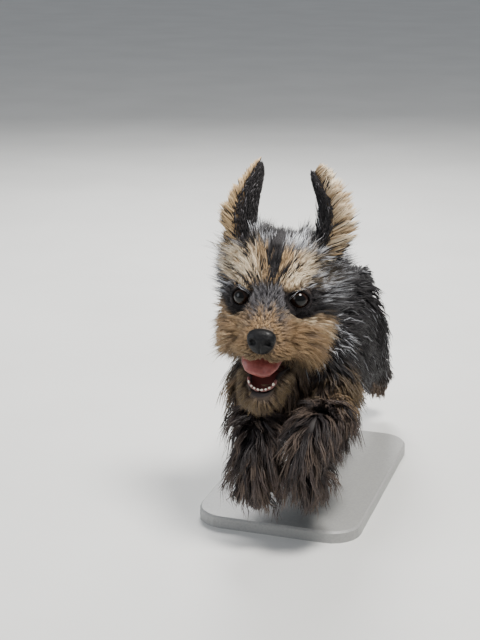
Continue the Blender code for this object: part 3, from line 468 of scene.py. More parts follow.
def lie(points, normals):
    """The way the coat lies at each point, in the world's frame."""
    weights = PARTS.weights(points)
    x, y, z = (points / MM).T
    nx, ny, nz = normals.T
    steep = 1 - np.maximum(nz, 0)
    out = np.clip(1.5 * nx, -1, 1)
    flows = {}
    front = ramp(-y, 34, 50)
    down = np.array((0, 0, -1.0))
    flows["trunk"] = np.stack([
        0.25 * out, 0.85 * (1 - front) + 0.10 * front, -0.30 - 0.65 * steep - 0.3 * front
    ], 1)
    throat = ramp(-ny, 0.2, 0.7)
    flows["neck"] = np.stack([0.25 * nx, 0.60 - 0.55 * throat, -0.45 - 0.55 * steep], 1)
    flows["tail"] = PARTS.heading("tail", points) + 0.25 * down
    for name in LEGS:
        flows[name] = PARTS.heading(name, points) * 0.8 + 0.45 * down
    flows["jaw"] = outwards(np.stack([1.30 * nx, np.full_like(nx, 0.15), np.full_like(nx, -1.0)], 1), HEAD)
    flows["skull"] = flows["muzzle"] = head_lie(points, normals)
    total = sum(unit(flow) * weights[name][:, None] for name, flow in flows.items())
    return unit(total)


def head_lie(points, normals):
    """Up and out from the stop over the crown, out from the nose over the muzzle and cheeks, and round the eyes."""
    p = local(points, HEAD)
    x, y, z = p.T
    sx = np.clip(x / 6, -1, 1)
    temple = ramp(np.abs(x), 12, 22)
    from_stop = unit(p - BROW_SOURCE) + np.stack([(0.10 + 0.55 * temple) * sx, 0.10 + 0 * x, 0.28 - 0.20 * temple], 1)
    beside_mouth = ramp(-z, 23, 30)
    from_nose = unit(p - NOSE) * np.stack([1 + 0 * x, 1 + 0 * x, 1 - 0.7 * beside_mouth], 1)
    from_nose = from_nose + np.stack([(0.30 + 0.5 * beside_mouth) * sx, 0.15 + 0 * x, -0.15 + 0 * x], 1)
    cheek = unit(p - NOSE) + np.stack([0.52 * sx, 0.25 + 0 * x, -0.45 - 0.35 * ramp(-z, 8, 24)], 1)
    muzzle = ramp(-y, 14, 26) * ramp(-z, -2, 6)
    low = ramp(-z, 0, 14)
    made = unit(from_stop) * ((1 - low) * (1 - muzzle))[:, None]
    made = made + unit(cheek) * (low * (1 - muzzle))[:, None]
    made = made + unit(from_nose) * muzzle[:, None]
    for side in SIDES.values():
        front = Vector(EYES[side]) + gaze(side) * EYE_RADIUS
        away = p - np.array(front)
        near = 1 - ramp(np.linalg.norm(away, axis=1), 8, 15)
        made = made + unit(away) * (1.6 * near)[:, None]
    return outwards(unit(made), HEAD)


def markings(points, rng, chance, jitter=1.0):
    """Root and tip colours of the coat at each point: black, tan and silver, with painted highlights and shade. The
    chance is shared by a clump.
    """
    weights = PARTS.weights(points)
    head = head_weight(weights)
    count = len(points)
    root, tip = np.tile(BLACK, (count, 1)), np.tile(SOOT, (count, 1))
    pale = rng.random(count)

    def blend(amount, root_colour, tip_colour):
        share = np.clip(amount, 0, 1)[:, None]
        root[:] = root * (1 - share) + np.array(root_colour) * share
        tip[:] = tip * (1 - share) + np.array(tip_colour) * share

    x, y, z = (points / MM).T
    noise = waves(points / MM, 26, 1) * 0.6 + waves(points / MM, 9, 2) * 0.4

    # Silver runs thinly through the black of the saddle and neck, and thickens on the neck's +X side as a painted
    # highlight.
    # Painted highlight: more and paler silver strands on the +X side of the neck.
    painted_neck_sheen = weights["neck"] * ramp(x, 4, 16)
    blend((0.6 * chance + 0.4 * pale < 0.14 + 0.08 * noise + 0.20 * painted_neck_sheen) * (0.35 + 0.6 * painted_neck_sheen), GREY, SILVER)
    # The breast and throat are a dark tan, and so are the insides and lower parts of the legs.
    throat = ramp(-y, 44, 58) * ramp(-z, -118, -104) * weights["neck"] + ramp(-y, 50, 60) * weights["trunk"]
    blend(0.85 * ramp(throat + 0.25 * noise, 0.25, 0.6), BROWN, UMBER)
    patch = 1 - ramp(np.hypot(np.abs(x) - 30, z - 95) - 4 * noise, 8, 15)
    breast_patch = 0.8 * patch * ramp(-y, 30, 40) * ramp(z + 3 * noise, 88, 94)
    for name in LEGS:
        member = weights[name]
        side = SIDES[name.rsplit("_", 1)[1]]
        if name.startswith("fore"):
            blend(member * 0.95 * ramp(-z + 6 * noise, -104, -88), DUSK, DUN)
            inner = ramp(0.5 * noise + 0.08 * (FORELEG_POSES[name[8:]][1] + side * 18 - x) * side - 0.3, 0, 1)
            blend(0.7 * member * inner * ramp(-z, -75, -55), BROWN, UMBER)
            blend(member * (chance < 0.26) * 0.4, BROWN, UMBER)
            blend(member * (chance > 0.72) * 0.7, BLACK, SOOT)
        else:
            low = ramp(0.45 * noise + (52 - z) / 16, 0, 1)
            inner = ramp(0.3 * noise + (14 - side * x) / 8, 0, 1)
            blend(member * np.maximum(low, 0.8 * inner) * 0.9, DUSK, DUN)
            blend(member * ramp(0.4 * noise + (44 - z) / 12, 0, 1) * (0.5 + 0.4 * (chance < 0.5)), BROWN, UMBER)
    # The tan breast patch is painted as tan in shade, with brighter tan in some clumps.
    blend(breast_patch, BROWN, SHADED_TAN)
    blend(breast_patch * (chance < 0.4) * 0.6, UMBER, TAN)
    blend(0.8 * weights["tail"] * ramp(-z + 108 + 4 * noise, 0, 5), BROWN, UMBER)

    # The head.
    p = local(points, HEAD)
    hx, hy, hz = p.T
    turn = np.degrees(np.arctan2(np.abs(hx), np.maximum(hz - STOP[2] + 3, 0.5)))
    away = np.linalg.norm(p - STOP, axis=1)
    streak = waves(np.stack([turn * np.sign(hx), 0 * turn, 0 * turn], 1), 9, 3) * 0.5
    streak = streak + waves(p, 8, 4) * 0.14 + 0.35 * (chance - 0.5)
    blend(head, BLACK, SOOT)
    front = head * ramp(-hy, -6, 5)
    # A fan of tan above the eyes, parted by a black stripe. Towards its outer edges the tan pales to cream: partly the
    # coat's light tips, partly painted sunlight.
    fan = front * ramp(away + 2 * streak, 4, 8) * ramp(hz + 2.5 * streak, 2.5, 7) * (1 - ramp(turn + 6 * streak, 70, 80))
    fan = fan * (1 - ramp(hz + 2 * streak, 19, 25)) * ramp(turn + 2.5 * streak, 8.5, 12)
    fan = fan * (1 - 0.92 * ramp(hx + 3 * streak, 15, 20))
    brow_cream_and_sunlight = ramp(turn + 10 * streak, 20, 34) * ramp(hz + 5 * streak, 5, 12)
    blend(fan * ramp(0.72 + 0.5 * brow_cream_and_sunlight + streak, 0.25, 0.5), UMBER, GOLD)
    blend(fan * brow_cream_and_sunlight * ramp(0.95 + streak, 0.25, 0.50) * (0.6 + 0.4 * (pale < 0.7)), TAN, CREAM)
    # The crown is black, with a painted highlight of silver strands over the middle of its front.
    crown = head * ramp(hz, 17, 22) * (1 - ramp(-hy, -12, -6)) + head * ramp(hz, 20, 25)
    crown = np.clip(crown, 0, 1) * ramp(-hy, -16, -6)
    painted_crown_highlight = crown * (1 - ramp(np.abs(hx), 13, 19)) * ramp(-hy, 1, 7)
    blend(crown * (1 - painted_crown_highlight), BLACK, SOOT)
    band = waves(np.stack([hx, 0 * hx, 0 * hx], 1), 9, 8) + 1.2 * (chance - 0.5)
    blend(painted_crown_highlight * ramp(band, 0, 0.4) * (pale < 0.8), GREY, SILVER)
    # Painted highlights: silver strands among the black hair at the sides of the head.
    side = head * np.maximum(ramp(turn, 66, 78), ramp(np.abs(hx), 15, 21)) * (1 - fan) * ramp(hz, -5, 2) * ramp(-hy, -12, 0)
    blend(side * (chance < 0.35) * 0.8, GREY, SILVER)
    # The muzzle and the cheeks are tan.
    muzzle = front * ramp(-hz - 0.10 * np.abs(hx) + 3 * streak, 3, 8) * ramp(-hy, 2, 9)
    cheek = front * ramp(-hz + 3 * streak, 5, 10)
    tan = np.maximum(muzzle, cheek)
    spoke = np.degrees(np.arctan2(hx, -(hz - NOSE[2]) * 0.5 + 8))
    stripe = waves(np.stack([spoke, 0 * spoke, 0 * spoke], 1), 11, 6) * 0.45 + waves(p, 5, 7) * 0.3 + 0.6 * (chance - 0.5)
    far = ramp(np.linalg.norm(p - NOSE, axis=1), 13, 26)
    blend(tan, UMBER, TAN)
    blend(tan * ramp(stripe, -0.25, 0.35), UMBER, GOLD)
    blend(tan * ramp(stripe, 0.35, 0.75) * (0.35 + 0.5 * far), TAN, CREAM)
    blend(tan * far * ramp(-stripe, 0.45, 0.75) * 0.7, BLACK, UMBER)
    # Painted shade: the lower muzzle darkens to tan in shade.
    blend(tan * 0.6 * ramp(-hz + 3 * streak, 22, 30), BROWN, SHADED_TAN)
    # Painted sunlight: a pale patch high on each cheek.
    painted_cheek_light = 1 - ramp(np.linalg.norm(np.stack([np.abs(hx) - 17, hz + 9], 1) * (0.8, 1.3), axis=1), 3, 8)
    blend(tan * painted_cheek_light * (chance < 0.55) * 0.6, GOLD, CREAM)
    # A black mask round each eye, drawn out sideways as painted shade on the cheek.
    eyes = np.zeros(count)
    for way in SIDES.values():
        centre = np.array(EYES[way]) + (way * 2, -6.5, -0.5)
        eyes = np.maximum(eyes, 1 - ramp(np.linalg.norm((p - centre) * (0.72, 0.8, 1.05), axis=1) + 2 * streak, 8.5, 12))
    eyes = eyes * (1 - ramp(hz - 0.06 * hx, 4.6, 6.6))
    blend(head * eyes * 0.96, BLACK, DUSK)
    bridge = head * (1 - ramp(np.abs(hx), 6, 11)) * (1 - ramp(np.abs(hy + 30) + 3 * streak, 4, 10)) * (1 - ramp(hz, 3, 6))
    blend(bridge * (0.45 + 0.4 * (chance < 0.6)), SLATE, ASH)
    # Painted shade: the lower jaw's hair is tan as it looks in shade, with some black clumps.
    blend(weights["jaw"], BROWN, SHADED_TAN)
    blend(weights["jaw"] * (chance < 0.35) * 0.6, BLACK, BROWN)
    shade = 1 + jitter * rng.normal(0, 0.16, count)
    return root * np.clip(shade, 0.5, 1.6)[:, None], tip * np.clip(shade, 0.5, 1.6)[:, None]


def ear_skin(surface, colour):
    """The colours with flesh inside the cups of the ears and gold along their outer margins."""
    for name, side in SIDES.items():
        shares = [(u, v) for u in np.linspace(-1, 1, 17) for v in np.linspace(0.06, 1, 26)]
        leaf = np.array([ear_point(name, u, v) for u, v in shares])
        upward = unit(leaf - np.array([ear_point(name, u, v - 0.03) for u, v in shares]))
        normals = unit(np.cross(upward, leaf - np.array([ear_point(name, u - 0.05, v) for u, v in shares])))
        near = np.flatnonzero(np.linalg.norm(surface.points - leaf.mean(0), axis=1) < 60 * MM)
        apart = np.linalg.norm(surface.points[near][:, None] - leaf[None], axis=2)
        closest = apart.argmin(1)
        behind = ((surface.points[near] - leaf[closest]) * normals[closest]).sum(1)
        on_leaf = apart.min(1) < 2.2 * MM
        margin = ramp(-side * np.array(shares)[closest, 0], 0.55, 0.8)
        cup = (on_leaf * (1 - ramp(behind / MM, -0.4, 0.2)))[:, None]
        edge = (on_leaf * margin)[:, None]
        own = colour[near] * (1 - edge) + np.array(TAN) * 0.7 * edge
        colour[near] = own * (1 - cup) + np.array(EAR_FLESH) * cup
    return colour


def paint_skin(obj, surface):
    """The skin under the coat: the coat's root colours, dark lips and the inside of the mouth."""
    rng = np.random.default_rng(SEED)
    root, tip = markings(surface.points, rng, np.full(len(surface.points), 0.5), jitter=0.0)
    colour = (root * 0.85 + tip * 0.15) * 0.55
    colour = ear_skin(surface, colour)
    mouth = np.full(len(surface.points), 9.0)
    for stations, place in ((PALATE, HEAD), (MOUTH_FLOOR, JAW)):
        centres, radii = PARTS.axis(stations, place)
        apart = np.linalg.norm(surface.points[:, None, :] - centres[None], axis=2) / radii
        mouth = np.minimum(mouth, apart.min(1))
    ahead = -local(surface.points, JAW)[:, 1]
    inside = ((1 - ramp(mouth, 1.04, 1.10)) * (1 - ramp(ahead, 37, 39)))[:, None]
    lips = (1 - ramp(mouth, 1.25, 1.4))[:, None]
    colour = colour * (1 - lips) + np.array(LIP) * lips
    colour = colour * (1 - inside) + np.array(MOUTH) * inside
    near_eye = np.full(len(surface.points), 99.0)
    for side in SIDES.values():
        near_eye = np.minimum(near_eye, np.linalg.norm(local(surface.points, eye_frame(side)), axis=1))
    rims = (1 - ramp(near_eye, EYE_RADIUS + 1.6, EYE_RADIUS + 4))[:, None]
    colour = colour * (1 - rims) + np.array(LIP) * rims
    attribute = obj.data.color_attributes.new("coat", "FLOAT_COLOR", "POINT")
    attribute.data.foreach_set("color", np.concatenate([colour, np.ones((len(colour), 1))], 1).ravel())
    return mouth


# Coat.


def march(surface, roots, normals, lengths, rises, fall, twist, steps=8, way=None):
    """Walks guides over the skin. Returns their points and normals, each guide a row."""
    points, ups = [roots.copy()], [normals.copy()]
    step = (lengths / steps)[:, None]
    normal = normals
    for k in range(1, steps + 1):
        t = k / steps
        here = points[-1]
        heading = lie(here, normal) if way is None else way(here, normal)
        heading = heading + np.cross(normal, heading) * twist[:, None]
        heading = heading + np.array((0, 0, -1.0)) * (fall * t)[:, None]
        inward = (heading * normal).sum(1, keepdims=True)
        heading = unit(heading - normal * np.minimum(inward, 0))
        point = here + heading * step
        place, face_normal, _ = surface.nearest(point)
        height = rises * math.sin(math.pi / 2 * min(1, 1.25 * t))
        apart = point - place
        level = (apart * face_normal).sum(1)
        low = (level < height) & (np.linalg.norm(apart, axis=1) < 12 * MM)
        point[low] = place[low] + face_normal[low] * height[low, None]
        normal = np.where(low[:, None], unit(normal + face_normal), normal)
        points.append(point)
        ups.append(normal)
    return np.stack(points, 1), np.stack(ups, 1)


def along(tracks, shares):
    """Points on tracks at shares of their length, a row of shares for each track."""
    last = tracks.shape[1] - 1
    place = np.clip(shares * last, 0, last - 1e-6)
    low = place.astype(int)
    part = (place - low)[:, :, None]
    rows = np.arange(len(tracks))[:, None]
    return tracks[rows, low] * (1 - part) + tracks[rows, low + 1] * part


def strands(surface, guides, ups, per_clump, clump, grip, curl, wavelength, rings, rng):
    """Strands around each guide, drawn together at the tip and waved. Returns their points, normals and faces."""
    count = len(guides) * per_clump
    owner = np.repeat(np.arange(len(guides)), per_clump)
    normal = ups[owner, 0]
    turn = rng.uniform(0, 2 * math.pi, count)
    reach = clump * MM * np.sqrt(rng.random(count))
    first = unit(np.cross(normal, rng.normal(size=(count, 3))))
    second = np.cross(normal, first)
    offset = (first * np.cos(turn)[:, None] + second * np.sin(turn)[:, None]) * reach[:, None]
    place, face_normal, face = surface.nearest(guides[owner, 0] + offset)
    offset = place - guides[owner, 0]
    length = rng.uniform(0.72, 1.06, count)
    shares = np.linspace(0, 1, rings)[None, :] * np.minimum(length, 1)[:, None]
    track = along(guides[owner], shares)
    up = unit(along(ups[owner], shares))
    drawn = 1 - grip * shares**0.8
    lift = rng.normal(0, 0.09, count)[:, None] * shares * np.linalg.norm(guides[owner, -1] - guides[owner, 0], axis=1)[:, None]
    track = track + offset[:, None, :] * drawn[:, :, None] + up * np.abs(lift)[:, :, None]
    heading = unit(np.gradient(track, axis=1))
    across = unit(np.cross(heading, up))
    phase = waves(guides[:, 0] / MM, 30, 5)[owner] * 3 + rng.normal(0, 0.35, count)
    size = np.linalg.norm(np.diff(track, axis=1), axis=2).sum(1)[:, None]
    swing = curl[owner, None] * MM * shares * np.sin(phase[:, None] + 2 * math.pi * shares * size / (wavelength * MM))
    bob = 0.6 * curl[owner, None] * MM * shares * np.cos(phase[:, None] + 2 * math.pi * shares * size / (wavelength * MM))
    stray = rng.normal(0, 0.045, (count, 1)) * shares**1.5 * size
    track = track + across * (swing + stray)[:, :, None] + up * np.maximum(bob, -0.3 * MM)[:, :, None]
    track[:, 0] -= face_normal * 0.8 * MM
    return track, up, face


PATCH = 0.003  # the size of a tuft's patch on the baked map


def strand_mesh(name, surface, track, up, face, width, root, tip, material):
    """One mesh of closed, tapered strands with a low three-sided section."""
    count, rings = track.shape[:2]
    shares = np.linspace(0, 1, rings)
    heading = unit(np.gradient(track, axis=1))
    across = unit(np.cross(heading, up))
    above = np.cross(across, heading)
    swell = np.sin(math.pi * np.clip(0.30 + 0.62 * shares, 0, 1))[None, :, None]
    half = width[:, None, None] * swell * MM / 2
    corners = np.stack([
        track + across * half - above * half * 0.25, track + above * half * 0.55, track - across * half - above * half * 0.25
    ], 2)[:, :-1]
    verts = np.concatenate([corners.reshape(count, -1, 3), track[:, -1:]], 1)
    per = verts.shape[1]
    faces, patch = [(0, 1, 2)], [((0, 0), (1, 0), (2, 0))]
    for r in range(rings - 2):
        for k in range(3):
            a, b = 3 * r + k, 3 * r + (k + 1) % 3
            c, d = b + 3, a + 3
            faces += [(a, d, b), (b, d, c)]
            patch += [((k, r), (k, r + 1), (k + 1, r)), ((k + 1, r), (k, r + 1), (k + 1, r + 1))]
    base = 3 * (rings - 2)
    for k in range(3):
        faces.append((base + k, per - 1, base + (k + 1) % 3))
        patch.append(((k, rings - 2), (k + 0.5, rings - 1), (k + 1, rings - 2)))
    faces = np.array(faces)
    patch = np.array(patch, float) / (3, rings - 1) * PATCH - PATCH / 2
    index = (faces[None] + (np.arange(count) * per)[:, None, None]).reshape(-1)
    mesh = bpy.data.meshes.new(name)
    mesh.vertices.add(count * per)
    mesh.vertices.foreach_set("co", verts.astype(np.float32).ravel())
    mesh.loops.add(len(index))
    mesh.loops.foreach_set("vertex_index", index.astype(np.int32))
    mesh.polygons.add(len(index) // 3)
    mesh.polygons.foreach_set("loop_start", np.arange(0, len(index), 3, dtype=np.int32))
    mesh.update(calc_edges=True)
    uv = mesh.uv_layers.new(name="OFBake")
    uv.data.foreach_set("uv", (surface.uv[face][:, None, None] + patch[None]).astype(np.float32).ravel())
    blend = np.append(np.repeat(shares[:-1], 3), 1.0)[None, :, None]
    colour = root[:, None] * (1 - blend) + tip[:, None] * blend
    colour = np.concatenate([colour, np.ones((count, per, 1))], 2)
    attribute = mesh.color_attributes.new("coat", "FLOAT_COLOR", "POINT")
    attribute.data.foreach_set("color", colour.astype(np.float32).ravel())
    mesh.shade_smooth()
    mesh.materials.append(material)
    obj = bpy.data.objects.new(name, mesh)
    bpy.context.scene.collection.objects.link(obj)
    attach(obj, "root")
    return obj


def body_length(points, weights):
    """Length of the coat in millimetres at each point of the body and head."""
    x, y, z = (points / MM).T
    skirt = 8 * ramp(np.abs(x), 12, 24) * ramp(-z, -106, -90)
    made = (21 + skirt) * weights["trunk"] + 22 * weights["neck"] + 16 * weights["tail"] + 9 * weights["jaw"]
    for name in LEGS:
        paw = ramp(-z, -56, -40)
        toes = ramp(-z, -44, -34)
        side = SIDES[name.rsplit("_", 1)[1]]
        top = 26 + 5 * ramp(side * (side * 18 + 9 - x), 2, 7) if name.startswith("fore") else 22
        made = made + weights[name] * (top - (top - 15) * paw - 6 * toes)
    p = local(points, HEAD)
    from_nose = np.linalg.norm(p - NOSE, axis=1)
    face = np.clip(4.6 + 0.62 * (from_nose - 9), 3.6, 17)
    bridge = (1 - ramp(np.abs(p[:, 0]), 6, 12)) * ramp(-p[:, 1], 20, 27)
    face = face * (1 - 0.45 * bridge)
    temple = ramp(np.abs(p[:, 0]), 13, 22)
    face = face + 10 * temple * ramp(p[:, 2], -8, 6) * (1 - ramp(p[:, 2], 20, 32)) + 4.5 * temple
    shoulder = ramp(np.abs(p[:, 0]), 6, 14) * ramp(p[:, 2], 15, 23)
    face = face + 7 * shoulder - 3 * (1 - shoulder) * ramp(p[:, 2], 22, 28)
    lip = (1 - ramp(np.abs(p[:, 0]), 12, 18)) * ramp(-p[:, 1], 10, 18)
    near_lip = 3.6 + 1.3 * np.maximum(np.abs(p[:, 2] + 35) - 2, 0)
    face = np.where(lip > 0, face * (1 - lip) + np.minimum(face, near_lip) * lip, face)
    for side in SIDES.values():
        front = np.array(Vector(EYES[side]) + gaze(side) * EYE_RADIUS)
        apart = np.linalg.norm(p - front, axis=1)
        face = np.minimum(face, 2.6 + np.maximum(apart - 6, 0) * 0.75)
    return made + face * head_weight(weights)


def rise_share(points, weights):
    """How far the coat stands out, as a share of its length."""
    p = local(points, HEAD)
    crown = ramp(p[:, 2], 6, 22)
    temple = ramp(np.abs(p[:, 0]), 12, 22)
    brow = ramp(-p[:, 1], 6, 18) * ramp(p[:, 2], 2, 8) * (1 - crown)
    head = 0.38 + 0.02 * crown - 0.08 * brow + 0.18 * temple * (1 - crown)
    legs = sum(weights[name] for name in LEGS)
    hind = weights["hind_leg_left"] + weights["hind_leg_right"]
    body = 0.15 * weights["trunk"] + 0.24 * weights["neck"] + 0.28 * weights["tail"] + 0.42 * weights["jaw"]
    return body + 0.44 * legs - 0.20 * hind + head * head_weight(weights)


def off_bare_places(points, normals, mouth_share):
    """Weight of the coat at each place: none in the mouth, on the lips, the nose and the eyes."""
    p = local(points, HEAD)
    keep = ramp(mouth_share, 1.14, 1.24)
    keep = keep * ramp(np.linalg.norm((p - NOSE) / (NOSE_HALF[0], NOSE_HALF[1] + 0.8, NOSE_HALF[2]), axis=1), 0.97, 1.03)
    for side in SIDES.values():
        q = local(points, eye_frame(side))
        opening = np.linalg.norm(q[:, :2] / (EYE_OPENING[0] + 0.6, EYE_OPENING[1] + 0.5), axis=1)
        keep = keep * np.where(q[:, 2] > 1, ramp(opening, 1.0, 1.12), 1.0)
    return keep


COATS = {
    # name: parts, strands, strands in a clump, clump radius, grip, strand width, rings, wavelength
    "fur_trunk": (("trunk",), 6000, 8, 2.6, 0.66, 1.25, 5, 18),
    "fur_trunk_under": (("trunk",), 6000, 6, 2.4, 0.50, 1.10, 3, 14),
    "fur_neck": (("neck",), 6900, 8, 2.2, 0.66, 0.95, 5, 15),
    "fur_tail": (("tail",), 1800, 8, 1.8, 0.70, 1.0, 5, 14),
    "fur_forelegs": (("foreleg_left", "foreleg_right"), 9000, 9, 3.0, 0.52, 0.72, 5, 15),
    "fur_hind_legs": (("hind_leg_left", "hind_leg_right"), 6000, 9, 2.2, 0.68, 0.95, 5, 14),
    "fur_head_crown": (("skull",), 11300, 7, 1.3, 0.60, 0.44, 4, 20),
    "fur_head_cover": (("skull",), 16500, 5, 1.2, 0.55, 0.38, 3, 20),
    "fur_muzzle": (("muzzle",), 18400, 5, 0.9, 0.50, 0.30, 3, 16),
    "fur_jaw": (("jaw",), 6000, 6, 1.2, 0.50, 0.40, 3, 14),
}
CURL = {"trunk": 1.5, "neck": 1.3, "tail": 1.2, "muzzle": 0.15, "skull": 0.25, "jaw": 0.5}
CURL |= {name: 1.7 if name.startswith("fore") else 1.4 for name in LEGS}
DENSITY = 1.0


def make_coat(surface, mouth_vertices, material):
    mouth = mouth_vertices[surface.faces].mean(1)
    weights = PARTS.weights(surface.middles)
    normals = unit(surface.normals[surface.faces].mean(1))
    keep = off_bare_places(surface.middles, normals, mouth) * (surface.ear_share < 0.5)
    for i, (name, (members, total, per, clump, grip, width, rings, wavelength)) in enumerate(COATS.items()):
        rng = np.random.default_rng(SEED + i)
        member = sum(weights[part] for part in members)
        crown = 1.0
        if name == "fur_head_crown":
            crown = ramp(local(surface.middles, HEAD)[:, 2], 2, 12)
        clumps = max(1, int(total * DENSITY / per))
        roots, ups, _ = surface.scattered(keep * member * (member > 0.3) * crown, clumps, rng)
        here = PARTS.weights(roots)
        length = body_length(roots, here) * rng.uniform(0.8, 1.15, clumps)
        rise = length * rise_share(roots, here) * rng.uniform(0.25, 1.15, clumps)
        under = 0.6 if name.endswith("under") else 1.0
        curl = sum(CURL[part] * here[part] for part in PARTS.names) * rng.uniform(0.5, 1.3, clumps)
        fall = 0.25 * (1 - head_weight(here)) + 0.04
        guides, guide_ups = march(
            surface, roots, ups, length * MM * under, rise * MM * under, fall, rng.normal(0, 0.16, clumps)
        )
        track, up, face = strands(
            surface, guides, guide_ups, per, clump / math.sqrt(DENSITY), grip, curl, wavelength, rings, rng
        )
        chance = np.clip(np.repeat(rng.random(clumps), per) + rng.normal(0, 0.08, len(track)), 0, 1)
        root, tip = markings(track[:, 0], rng, chance)
        wide = width * rng.uniform(0.75, 1.25, len(track)) / math.sqrt(DENSITY)
        strand_mesh(name, surface, track, up, face, wide, root, tip, material)


SPIKES = 40  # tufts along an ear's fringe
STRAW = (0.68, 0.53, 0.33)


def ear_coat(name, surface, material):
    """Short black hair up the ear's back, and a long light fringe along its outer margin."""
    rng = np.random.default_rng(SEED + 40 + SIDES[name])
    outer = -SIDES[name]
    black = int(2000 * DENSITY)
    fringe = int(1500 * DENSITY)
    tuft = int(260 * DENSITY)
    tracks, ups, faces, widths, roots, tips = [], [], [], [], [], []

    def grid(u, v):
        return np.array([ear_point(name, a, b) for a, b in zip(u, v)])

    def settle(u, v, back, length, rise, outward, colour_root, colour_tip, width, spike=None):
        """Strands rooted at u and v of the leaf, on its back or in its cup. Those of one spike meet at its tip."""
        here = grid(u, v)
        upward = unit(grid(u, np.minimum(v + 0.04, 1.0)) - grid(u, np.maximum(v - 0.04, 0)))
        sideways = unit(grid(u + 0.05, v) - grid(u - 0.05, v))
        normal = unit(np.cross(upward, sideways)) * back
        facing = surface.nearest(here + normal * 0.003)
        here, face = facing[0], facing[2]
        heading = unit(upward + sideways * outward[:, None])
        steps = np.linspace(0, 1, 4)[None, :, None]
        bend = heading[:, None] * (length[:, None, None] * steps * MM)
        bend = bend + normal[:, None] * (rise[:, None, None] * np.sin(steps * math.pi / 2) * MM)
        droop = rng.normal(0, 0.12, (len(u), 1, 1)) * steps**2 * length[:, None, None] * MM
        track = here[:, None] + bend + sideways[:, None] * droop
        if spike is not None:
            members = np.maximum(np.bincount(spike), 1)
            middle = np.stack([np.bincount(spike, track[:, -1, k]) for k in range(3)], 1) / members[:, None]
            track += (middle[spike] - track[:, -1])[:, None] * 0.35 * steps**1.5
        track[:, 0] -= normal * 0.6 * MM
        tracks.append(track)
        ups.append(np.repeat(normal[:, None], 4, 1))
        faces.append(face)
        widths.append(width)
        roots.append(colour_root)
        tips.append(colour_tip)

    u = rng.uniform(-1, 1, black)
    v = rng.uniform(0.0, 0.97, black)
    shade = rng.uniform(0.5, 1.4, black)[:, None]
    silver = (rng.random(black) < 0.06)[:, None]
    tone = np.where(silver, np.array(GREY), np.array(SOOT)) * shade
    settle(
        u, v, 1, rng.uniform(3, 6, black) * (1 - 0.4 * v), rng.uniform(0.4, 1.2, black), rng.normal(0, 0.15, black),
        tone * 0.6, tone, rng.uniform(0.45, 0.75, black) / math.sqrt(DENSITY),
    )
    v = rng.uniform(0.0, 1.0, fringe)
    u = outer * (1 - rng.random(fringe) * ((0.40 if name == "left" else 0.14) + 0.32 * (1 - v)))
    spike = (v * SPIKES + rng.uniform(0, 0.8, fringe)).astype(int)
    of_spike = rng.random((SPIKES + 1, 3))[spike]
    profile = 16.5 - 7 * v**4 if name == "left" else 15.5 - 10 * v
    long = profile * (0.76 + 0.34 * of_spike[:, 0]) * rng.uniform(0.78, 1.1, fringe)
    fan = 1.35 if name == "left" else 1.30 - 0.95 * v
    spread = fan * (0.6 + 0.6 * of_spike[:, 1]) * rng.uniform(0.85, 1.15, fringe) * outer
    light = (0.6 * of_spike[:, 2] + 0.4 * rng.random(fringe))[:, None]
    pale = np.array(CREAM if name == "left" else STRAW)
    tip = (np.array(GOLD) * (1 - light) + pale * light) * (0.85 + 0.3 * light)
    root = np.array(TAN) * (0.45 + 0.6 * light)
    dark = (rng.random(fringe) < 0.14 + 0.45 * (1 - ramp(v, 0.10, 0.30)))[:, None]
    tip = np.where(dark, np.array(SOOT), tip)
    root = np.where(dark, np.array(BLACK), root)
    settle(
        u, v, 1, long, rng.uniform(-1.5, 1.5, fringe), spread, root, tip,
        rng.uniform(0.50, 0.85, fringe) / math.sqrt(DENSITY), spike,
    )
    u = rng.uniform(-0.95, 0.95, fringe)
    v = rng.uniform(0.0, 0.97, fringe)
    settle(
        u, v, -1, rng.uniform(5, 11, fringe) * (1.1 - 0.7 * v), rng.uniform(2.0, 5.0, fringe) * (1 - 0.5 * v),
        rng.normal(0.1 * outer, 0.4, fringe), root * 0.6, tip * rng.uniform(0.5, 1.1, (fringe, 1)),
        rng.uniform(0.32, 0.55, fringe) / math.sqrt(DENSITY),
    )
    u = -outer * rng.uniform(-0.2, 1.0, tuft)
    v = rng.uniform(0.0, 0.45 if name == "left" else 0.22, tuft)
    wisp = (rng.random(tuft) < (0.08 if name == "left" else 0.5))[:, None]
    settle(
        u, v, 1, rng.uniform(9, 19, tuft), rng.uniform(1, 5, tuft), -0.5 * outer * rng.uniform(-0.3, 1.2, tuft),
        np.where(wisp, np.array(GREY), np.array(BLACK)), np.where(wisp, np.array(SILVER), np.array(SOOT)),
        rng.uniform(0.5, 0.8, tuft) / math.sqrt(DENSITY),
    )
    strand_mesh(
        f"fur_ear_{name}", surface, np.concatenate(tracks), np.concatenate(ups), np.concatenate(faces),
        np.concatenate(widths), np.concatenate(roots), np.concatenate(tips), material,
    )


